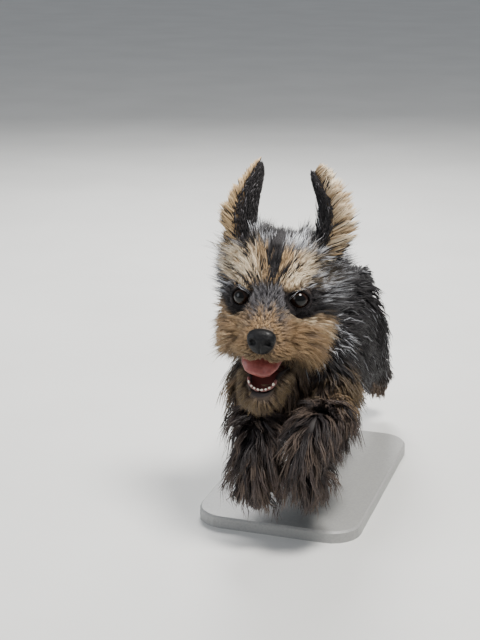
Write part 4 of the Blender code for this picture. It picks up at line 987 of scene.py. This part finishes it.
def lid_coat(name, side, surface, material):
    """Short dark hair on the lids, combed away from the eye, and a few long light hairs across the upper one."""
    rng = np.random.default_rng(SEED + 60 + side)
    matrix = np.array(eye_frame(side))

    def over_eye(angle, reach, lift):
        """Points over the eyeball, at an angle about the gaze and a reach beyond the gap between the lids."""
        flat = np.hypot(EYE_OPENING[0] * np.cos(angle), EYE_OPENING[1] * np.sin(angle)) + reach
        polar = flat / EYE_RADIUS
        direction = np.stack([np.cos(angle) * np.sin(polar), np.sin(angle) * np.sin(polar), np.cos(polar)], -1)
        return (direction * (EYE_RADIUS + lift)[..., None] * MM) @ matrix[:3, :3].T + matrix[:3, 3]

    def grow(piece, track, colour_root, colour_tip, width):
        up = unit(track - matrix[:3, 3])
        face = surface.nearest(track[:, 0])[2]
        strand_mesh(piece, surface, track, up, face, width, colour_root, colour_tip, material)

    count = int(1100 * DENSITY)
    angle = rng.uniform(0, 2 * math.pi, count)
    reach = rng.uniform(0.3, 2.6, count)
    lid = np.full(count, 0.95)
    root = over_eye(angle, reach, lid)
    ahead = unit(over_eye(angle, reach + 0.3, lid) - root)
    upward = unit(root - matrix[:3, 3])
    steps = np.linspace(0, 1, 3)[None, :, None]
    length = (rng.uniform(2.4, 4.6, count) * (1 - 0.4 * ramp(np.sin(angle), 0, 0.6)))[:, None, None] * MM
    track = root[:, None] + ahead[:, None] * steps * length
    track = track + upward[:, None] * np.sin(steps * math.pi / 2) * rng.uniform(0.12, 0.40, (count, 1, 1)) * length
    track = track + np.cross(upward, ahead)[:, None] * rng.normal(0, 0.18, (count, 1, 1)) * steps * length
    shade = rng.uniform(0.6, 1.5, (count, 1))
    above = ramp(np.sin(angle), 0.35, 0.8)[:, None]
    grow(
        f"fur_lids_{name}", track, np.array(BLACK) * shade, (np.array(DUSK) * (1 - above) + np.array(BROWN) * above) * shade,
        rng.uniform(0.28, 0.42, count) / math.sqrt(DENSITY),
    )
    count = 7
    inner = math.pi if side > 0 else 0.0
    shares = np.linspace(0, 1, 6)[None, :]
    begin = inner - side * math.radians(20) + rng.normal(0, 0.22, (count, 1))
    angle = begin - side * rng.uniform(1.2, 2.0, (count, 1)) * shares
    reach = rng.uniform(1.0, 2.4, (count, 1)) - rng.uniform(0.2, 3.0, (count, 1)) * np.sin(shares * math.pi) ** 0.8
    track = over_eye(angle, reach, 0.8 + 1.6 * np.sin(shares * math.pi / 2) + 0 * angle)
    shade = rng.uniform(0.6, 1.3, (count, 1))
    grow(f"brow_hair_{name}", track, np.array(GREY) * shade, np.array(SILVER) * shade, rng.uniform(0.14, 0.24, count))


# Materials.


def plain_material(name, roughness, metallic=0.0):
    made = bpy.data.materials.new(name)
    made.use_nodes = True
    shader = made.node_tree.nodes["Principled BSDF"]
    shader.inputs["Roughness"].default_value = roughness
    shader.inputs["Metallic"].default_value = metallic
    return made, made.node_tree.nodes, made.node_tree.links, shader


def noise_node(nodes, scale, detail=4.0):
    made = nodes.new("ShaderNodeTexNoise")
    made.inputs["Scale"].default_value = scale
    made.inputs["Detail"].default_value = detail
    return made


def object_coordinates(nodes, links, target):
    place = nodes.new("ShaderNodeTexCoord")
    links.new(place.outputs["Object"], target)


def bump_from(nodes, links, shader, height, strength, distance):
    bump = nodes.new("ShaderNodeBump")
    bump.inputs["Strength"].default_value = strength
    bump.inputs["Distance"].default_value = distance
    links.new(height, bump.inputs["Height"])
    links.new(bump.outputs["Normal"], shader.inputs["Normal"])


def coat_material():
    """Hair: its colour comes from the strand, and a fine noise varies it."""
    made, nodes, links, shader = plain_material("coat_hair", 0.5)
    shader.inputs["Specular IOR Level"].default_value = 0.22
    colour = nodes.new("ShaderNodeAttribute")
    colour.attribute_name = "coat"
    noise = noise_node(nodes, 900)
    object_coordinates(nodes, links, noise.inputs["Vector"])
    spread = nodes.new("ShaderNodeMapRange")
    spread.inputs["To Min"].default_value = 0.75
    spread.inputs["To Max"].default_value = 1.25
    links.new(noise.outputs["Fac"], spread.inputs["Value"])
    vary = nodes.new("ShaderNodeVectorMath")
    vary.operation = "SCALE"
    links.new(colour.outputs["Color"], vary.inputs[0])
    links.new(spread.outputs["Result"], vary.inputs["Scale"])
    links.new(vary.outputs["Vector"], shader.inputs["Base Color"])
    return made


def skin_material():
    made, nodes, links, shader = plain_material("skin", 0.6)
    shader.inputs["Specular IOR Level"].default_value = 0.25
    colour = nodes.new("ShaderNodeAttribute")
    colour.attribute_name = "coat"
    noise = noise_node(nodes, 1400, 6.0)
    object_coordinates(nodes, links, noise.inputs["Vector"])
    links.new(colour.outputs["Color"], shader.inputs["Base Color"])
    bump_from(nodes, links, shader, noise.outputs["Fac"], 0.4, 0.0004)
    return made


def two_tone(name, low, high, scale, roughness, metallic=0.0, bump=0.2, distance=0.0003, wet=0.0):
    """A material whose colour moves between two tones with a noise, which also roughens it."""
    made, nodes, links, shader = plain_material(name, roughness, metallic)
    noise = noise_node(nodes, scale, 6.0)
    object_coordinates(nodes, links, noise.inputs["Vector"])
    mix = nodes.new("ShaderNodeValToRGB")
    mix.color_ramp.elements[0].position = 0.35
    mix.color_ramp.elements[0].color = (*low, 1)
    mix.color_ramp.elements[1].position = 0.65
    mix.color_ramp.elements[1].color = (*high, 1)
    links.new(noise.outputs["Fac"], mix.inputs["Fac"])
    links.new(mix.outputs["Color"], shader.inputs["Base Color"])
    shader.inputs["Coat Weight"].default_value = wet
    shader.inputs["Coat Roughness"].default_value = 0.12
    bump_from(nodes, links, shader, noise.outputs["Fac"], bump, distance)
    return made


def eye_material():
    """A dark brown iris round a black pupil, under a clear, wet coat. The object's +Z is the gaze."""
    made, nodes, links, shader = plain_material("wet_eye", 0.12)
    place = nodes.new("ShaderNodeTexCoord")
    split = nodes.new("ShaderNodeSeparateXYZ")
    links.new(place.outputs["Object"], split.inputs["Vector"])
    ramp_node = nodes.new("ShaderNodeValToRGB")
    scale = nodes.new("ShaderNodeMapRange")
    scale.inputs["From Min"].default_value = 0.0
    scale.inputs["From Max"].default_value = EYE_RADIUS * 1.06 * MM
    links.new(split.outputs["Z"], scale.inputs["Value"])
    links.new(scale.outputs["Result"], ramp_node.inputs["Fac"])
    stops = ramp_node.color_ramp.elements
    stops[0].position = 0.55
    stops[0].color = (0.012, 0.009, 0.008, 1)
    stops[1].position = 0.66
    stops[1].color = (0.008, 0.004, 0.003, 1)
    for position, colour in ((0.84, (0.014, 0.0065, 0.0038, 1)), (0.88, (0.002, 0.002, 0.002, 1))):
        stop = stops.new(position)
        stop.color = colour
    links.new(ramp_node.outputs["Color"], shader.inputs["Base Color"])
    shader.inputs["Specular IOR Level"].default_value = 0.1
    shader.inputs["Coat Weight"].default_value = 0.32
    shader.inputs["Coat Roughness"].default_value = 0.02
    return made


def finished(obj, material, slot, *nodes):
    obj.data.materials.clear()
    obj.data.materials.append(material)
    obj.data.shade_smooth()
    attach(obj, "root")
    if nodes:
        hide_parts(*nodes)
    return obj


# Eyes, nose, mouth and claws.


def make_eye(name, side, material):
    """An eyeball with a raised cornea, in its own frame."""
    bm = bmesh.new()
    bmesh.ops.create_uvsphere(bm, u_segments=48, v_segments=32, radius=EYE_RADIUS * MM)
    for vert in bm.verts:
        height = vert.co.z / (EYE_RADIUS * MM)
        vert.co.z += 0.7 * MM * max(0, (height - 0.72) / 0.28) ** 1.5
    eye = object_from(f"eyeball_{name}", bm)
    eye.matrix_world = eye_frame(side)
    return finished(eye, material, "eyes", f"eye_{name}")


def make_lids(name, side, material):
    """A rim round the almond gap between the lids, which lies on the eyeball."""
    place = eye_frame(side)
    bm = bmesh.new()
    around, profile = 48, ((0.10, 0.0), (0.45, 0.1), (0.6, 0.45), (0.4, 0.95), (-0.4, 1.6), (-2.0, 2.3))
    loops = []
    for i in range(around):
        angle = 2 * math.pi * i / around
        corner = abs(math.cos(angle)) ** 3
        width = EYE_OPENING[0] * (1 + 0.10 * corner)
        height = EYE_OPENING[1] * (1 - 0.12 * corner)
        edge = Vector((width * math.cos(angle), height * math.sin(angle)))
        ring = []
        for lift, back in profile:
            reach = edge.length + back
            flat = edge.normalized() * reach
            radius = EYE_RADIUS + lift + 0.35
            polar = min(reach / EYE_RADIUS, 1.45)
            direction = Vector((flat.normalized().x * math.sin(polar), flat.normalized().y * math.sin(polar), math.cos(polar)))
            ring.append(bm.verts.new(place @ (direction * radius * MM)))
        loops.append(ring)
    for i in range(around):
        here, after = loops[i], loops[(i + 1) % around]
        for k in range(len(profile) - 1):
            bm.faces.new((here[k], after[k], after[k + 1], here[k + 1]))
    lids = object_from(f"lids_{name}", bm)
    shell = lids.modifiers.new("thickness", "SOLIDIFY")
    shell.thickness = 0.5 * MM
    shell.offset = -1
    apply_modifiers(lids)
    return finished(lids, material, "nose_leather")


def make_nose(material):
    """The leather pad with two comma-shaped nostrils and the groove between them."""
    bm = bmesh.new()
    bmesh.ops.create_uvsphere(bm, u_segments=96, v_segments=64, radius=1)
    for vert in bm.verts:
        x, y, z = vert.co
        square = (abs(x) ** 2.3 + abs(y) ** 2.3 + abs(z) ** 2.3) ** (1 / 2.3)
        x, y, z = x / square, y / square, z / square
        px = x * NOSE_HALF[0] * (1 + 0.20 * z)
        py = y * NOSE_HALF[1] + 1.2 * max(0, -z)
        pz = z * NOSE_HALF[2]
        front = max(0, -y) ** 0.5
        for side in SIDES.values():
            dx, dz = px - side * 4.3, pz - 0.2
            hole = math.exp(-((dx / 2.0) ** 2 + (dz / 1.7) ** 2) ** 1.6)
            slit = math.exp(-(((px - side * 6.2) / 2.0) ** 2 + ((pz + 1.3) / 0.9) ** 2) ** 1.6)
            py += (2.6 * hole + 1.6 * slit) * front
            rim = math.exp(-((dx / 3.2) ** 2 + (dz / 3.0) ** 2) ** 2) - hole
            py -= 0.35 * rim * front
        groove = math.exp(-((px / 0.55) ** 2)) * max(0, min(1, (1.5 - pz) / 3))
        py += 0.9 * groove * front
        vert.co = Vector((px + NOSE[0], py + NOSE[1], pz + NOSE[2])) * MM
    bm.transform(HEAD)
    return finished(object_from("nose_pad", bm), material, "nose_leather", "nose")


def make_tongue(material):
    """A broad tongue that rises from the floor of the mouth, with a groove along its middle and a lifted tip."""
    bm = bmesh.new()
    stations = [
        (-0.5, -4, 4.5, 12, 6), (-1, -13, 7.0, 12.6, 5.6), (-1.8, -20.5, 8.8, 12.6, 4.8), (-2.4, -27, 9.6, 11.4, 3.8),
        (-2.8, -31, 9.2, 8.8, 2.8),
    ]
    add_tube(bm, stations, Matrix.Identity(4), 32, 8)
    for vert in bm.verts:
        x = vert.co.x / MM
        vert.co.z -= 0.9 * MM * math.exp(-((x / 1.6) ** 2))
        vert.co.z += 0.12 * MM * abs(x)
    bm.transform(JAW)
    return finished(object_from("tongue_flesh", bm), material, "mouth_flesh", "tongue")


def make_teeth(name, centre, radius, up, canine, incisor, place, tooth_material, gum_material, node):
    """A row of six incisors and two canines on a gum ridge; canines taller than 4 mm curve."""
    bm = bmesh.new()
    rows = [(-62, canine, 1.05), (62, canine, 1.05)] + [(-40 + 16 * k, incisor, 1.0) for k in range(6)]
    for degrees, height, half in rows:
        a = math.radians(degrees)
        outward = Vector((math.sin(a), -math.cos(a), 0))
        root = Vector(centre) + outward * radius
        rings = []
        for k in range(7):
            t = k / 6
            bend = outward * (0.9 * t - 1.1 * t * t) * (height > 4)
            middle = root + up * height * t + bend
            broad = half * (1 - t**1.7) ** 0.8 + 0.08
            flat = 0.7 if height < 4 else 1.0
            side = up.cross(outward).normalized()
            rings.append([
                bm.verts.new((middle + side * broad * math.cos(q) + outward * broad * flat * math.sin(q)) * MM)
                for q in (2 * math.pi * j / 12 for j in range(12))
            ])
        for lower, upper in zip(rings, rings[1:]):
            for j in range(12):
                bm.faces.new((lower[j], lower[(j + 1) % 12], upper[(j + 1) % 12], upper[j]))
        bm.faces.new(rings[0])
        bm.faces.new(rings[-1])
    bm.transform(place)
    teeth = finished(object_from(name, bm), tooth_material, "teeth", node)
    bm = bmesh.new()
    ridge = [
        (centre[0] + radius * math.sin(math.radians(d)), centre[1] - radius * math.cos(math.radians(d)), centre[2], 1.0, 1.0)
        for d in range(-84, 85, 14)
    ]
    add_tube(bm, ridge, place, 14, 3)
    finished(object_from(name + "_gum", bm), gum_material, "mouth_flesh")
    return teeth


def make_claws(toes, material):
    """A small curved claw at each toe."""
    bm = bmesh.new()
    for middle, ahead in toes:
        forward = Vector((0, -1, 0)) if middle.y < 0 else Vector((0, 0.55, 0))
        start = middle + ahead * 2.4 + forward * 1.6
        stations = [
            (*(start + ahead * 5.2 * t + forward * (1.3 * t - 1.6 * t * t)), 0.95 * (1 - 0.85 * t), 1.05 * (1 - 0.85 * t))
            for t in (0, 0.33, 0.66, 1)
        ]
        add_tube(bm, stations, Matrix.Identity(4), 12, 3)
    return finished(object_from("claws", bm), material, "nose_leather")


def make_pads(toes, material):
    """Leather pads under the toes and one under each paw."""
    bm = bmesh.new()
    for middle, ahead in toes:
        under = Vector((0, 1, 0)) if middle.y < 0 else Vector((0, -1, 0.2))
        add_ball(bm, middle + under * 2.0 + ahead * 0.6, (1.7, 1.9, 2.4), fineness=3)
    for k in range(0, len(toes), 4):
        middle = (toes[k + 1][0] + toes[k + 2][0]) / 2
        under = Vector((0, 1, 0)) if middle.y < 0 else Vector((0, -1, 0.2))
        add_ball(bm, middle + under * 2.6 - toes[k][1] * 5.0, (4.0, 2.2, 3.2), fineness=3)
    return finished(object_from("paw_pads", bm), material, "nose_leather")


# Stage, lights and camera.


def make_stage():
    bpy.ops.mesh.primitive_plane_add(size=60, location=(0, 0, 0))
    floor = bpy.context.object
    floor.name = "studio_floor"
    floor.data.materials.append(two_tone("pale_floor", (0.60, 0.60, 0.585), (0.64, 0.64, 0.625), 6, 0.75, 0, 0.02))
    world = bpy.data.worlds.new("studio")
    world.use_nodes = True
    world.node_tree.nodes["Background"].inputs["Color"].default_value = (0.82, 0.86, 0.92, 1)
    world.node_tree.nodes["Background"].inputs["Strength"].default_value = 0.42
    bpy.context.scene.world = world


def area_light(name, place, aim, size, power, colour):
    data = bpy.data.lights.new(name, "AREA")
    data.shape = "DISK"
    data.size = size
    data.energy = power
    data.color = colour
    lamp = bpy.data.objects.new(name, data)
    lamp.location = place
    lamp.rotation_euler = (Vector(place) - Vector(aim)).to_track_quat("Z", "Y").to_euler()
    bpy.context.scene.collection.objects.link(lamp)


CAMERA_TURN, CAMERA_HEIGHT = math.radians(18), math.radians(17)
NOSE_PIXEL, NOSE_PLACE = (261, 343), Vector((1, -118, 140))
PIXEL = 0.60  # millimetres for each pixel at the nose
PICTURE = (480, 640)
LENS, SENSOR = 77, 36


def make_camera():
    """Placed so that the nose falls on its place in the picture."""
    back = Vector((
        math.sin(CAMERA_TURN) * math.cos(CAMERA_HEIGHT), -math.cos(CAMERA_TURN) * math.cos(CAMERA_HEIGHT),
        math.sin(CAMERA_HEIGHT),
    ))
    right = Vector((math.cos(CAMERA_TURN), math.sin(CAMERA_TURN), 0))
    up = back.cross(right)
    focal = LENS / SENSOR * PICTURE[1]
    ray = -back + right * (NOSE_PIXEL[0] - PICTURE[0] / 2) / focal + up * (PICTURE[1] / 2 - NOSE_PIXEL[1]) / focal
    data = bpy.data.cameras.new("camera")
    data.lens = LENS
    data.sensor_width = SENSOR
    data.clip_start = 0.01
    camera = bpy.data.objects.new("camera", data)
    camera.location = (NOSE_PLACE - ray * focal * PIXEL) * MM
    camera.rotation_euler = (-back).to_track_quat("-Z", "Y").to_euler()
    bpy.context.scene.collection.objects.link(camera)
    bpy.context.scene.camera = camera


def main():
    make_camera()
    make_stage()
    aim = (0, -60, 120)
    aim = tuple(v * MM for v in aim)
    area_light("key", (0.42, -0.22, 1.32), aim, 0.40, 34, (1.0, 0.97, 0.92))
    area_light("fill", (-0.9, -0.7, 0.6), aim, 0.9, 7, (0.93, 0.96, 1.0))
    area_light("rim", (-0.35, 0.9, 0.95), aim, 0.5, 22, (1.0, 0.99, 0.97))

    skin, toes = make_skin()
    unwrap(skin)
    surface = Surface(skin)
    leaf_places = np.array([
        ear_point(name, u, v) for name in SIDES for u in np.linspace(-1, 1, 9) for v in np.linspace(0.12, 1, 16)
    ])
    apart = np.min([np.linalg.norm(surface.middles - place, axis=1) for place in leaf_places], axis=0)
    surface.ear_share = 1 - ramp(apart, 3.0 * MM, 4.5 * MM)
    mouth = paint_skin(skin, surface)
    finished(
        skin, skin_material(), "black_coat", "torso", "neck", "tail", "head", "jaw", "ear_left", "ear_right",
        *(f"{part}_foreleg_{name}" for name in SIDES for part in ("upper", "paw")),
        *(f"{part}_hind_leg_{name}" for name in SIDES for part in ("thigh", "shank", "paw")),
    )
    hair = coat_material()
    make_coat(surface, mouth, hair)
    for name, side in SIDES.items():
        ear_coat(name, surface, hair)
        lid_coat(name, side, surface, hair)

    leather = two_tone("nose_leather", (0.004, 0.004, 0.0045), (0.012, 0.0115, 0.0125), 900, 0.45, 0, 0.7, 0.0005, 0.12)
    rim = two_tone("lid_rim", (0.004, 0.003, 0.003), (0.009, 0.007, 0.007), 500, 0.7, 0, 0.3, 0.0002, 0.0)
    rim.node_tree.nodes["Principled BSDF"].inputs["Specular IOR Level"].default_value = 0.12
    # The tongue's red is darkened as painted shade.
    flesh = two_tone("tongue_flesh", (0.165, 0.035, 0.028), (0.24, 0.058, 0.047), 420, 0.5, 0, 0.6, 0.0005, 0.25)
    gum = two_tone("gum_flesh", (0.10, 0.030, 0.027), (0.17, 0.060, 0.054), 260, 0.45, 0, 0.3, 0.0003, 0.3)
    enamel = two_tone("enamel", (0.62, 0.58, 0.49), (0.74, 0.71, 0.63), 150, 0.25, 0, 0.1, 0.0002, 0.4)
    horn = two_tone("claw_horn", (0.012, 0.010, 0.009), (0.05, 0.04, 0.033), 300, 0.35)
    eye = eye_material()
    wet_leather = two_tone("wet_nose", (0.003, 0.003, 0.0035), (0.009, 0.009, 0.010), 900, 0.5, 0, 0.7, 0.0005, 0.06)
    wet_leather.node_tree.nodes["Principled BSDF"].inputs["Specular IOR Level"].default_value = 0.16
    for name, side in SIDES.items():
        make_eye(name, side, eye)
        make_lids(name, side, rim)
    make_nose(wet_leather)
    make_tongue(flesh)
    down, up = Vector((0, -0.12, -1)).normalized(), Vector((0, -0.10, 1)).normalized()
    make_teeth("teeth_top", (0, -31.0, -29.0), 7.6, down, 6.2, 1.6, HEAD, enamel, gum, "teeth_upper")
    make_teeth("teeth_low", (0, -32.5, 5.0), 8.6, up, 3.4, 2.0, JAW, enamel, gum, "teeth_lower")
    make_claws(toes, horn)
    make_pads(toes, leather)

    paint = two_tone("base_paint", (0.27, 0.27, 0.265), (0.31, 0.31, 0.30), 700, 0.42, 0, 0.15, 0.0001)
    steel = two_tone("dark_steel", (0.10, 0.10, 0.105), (0.15, 0.15, 0.155), 900, 0.42, 1.0, 0.1, 0.0001)
    for node, material in (("stand_base", paint), ("stand_rod_front", steel), ("stand_rod_rear", steel)):
        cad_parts[node].data.materials.clear()
        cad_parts[node].data.materials.append(material)


main()
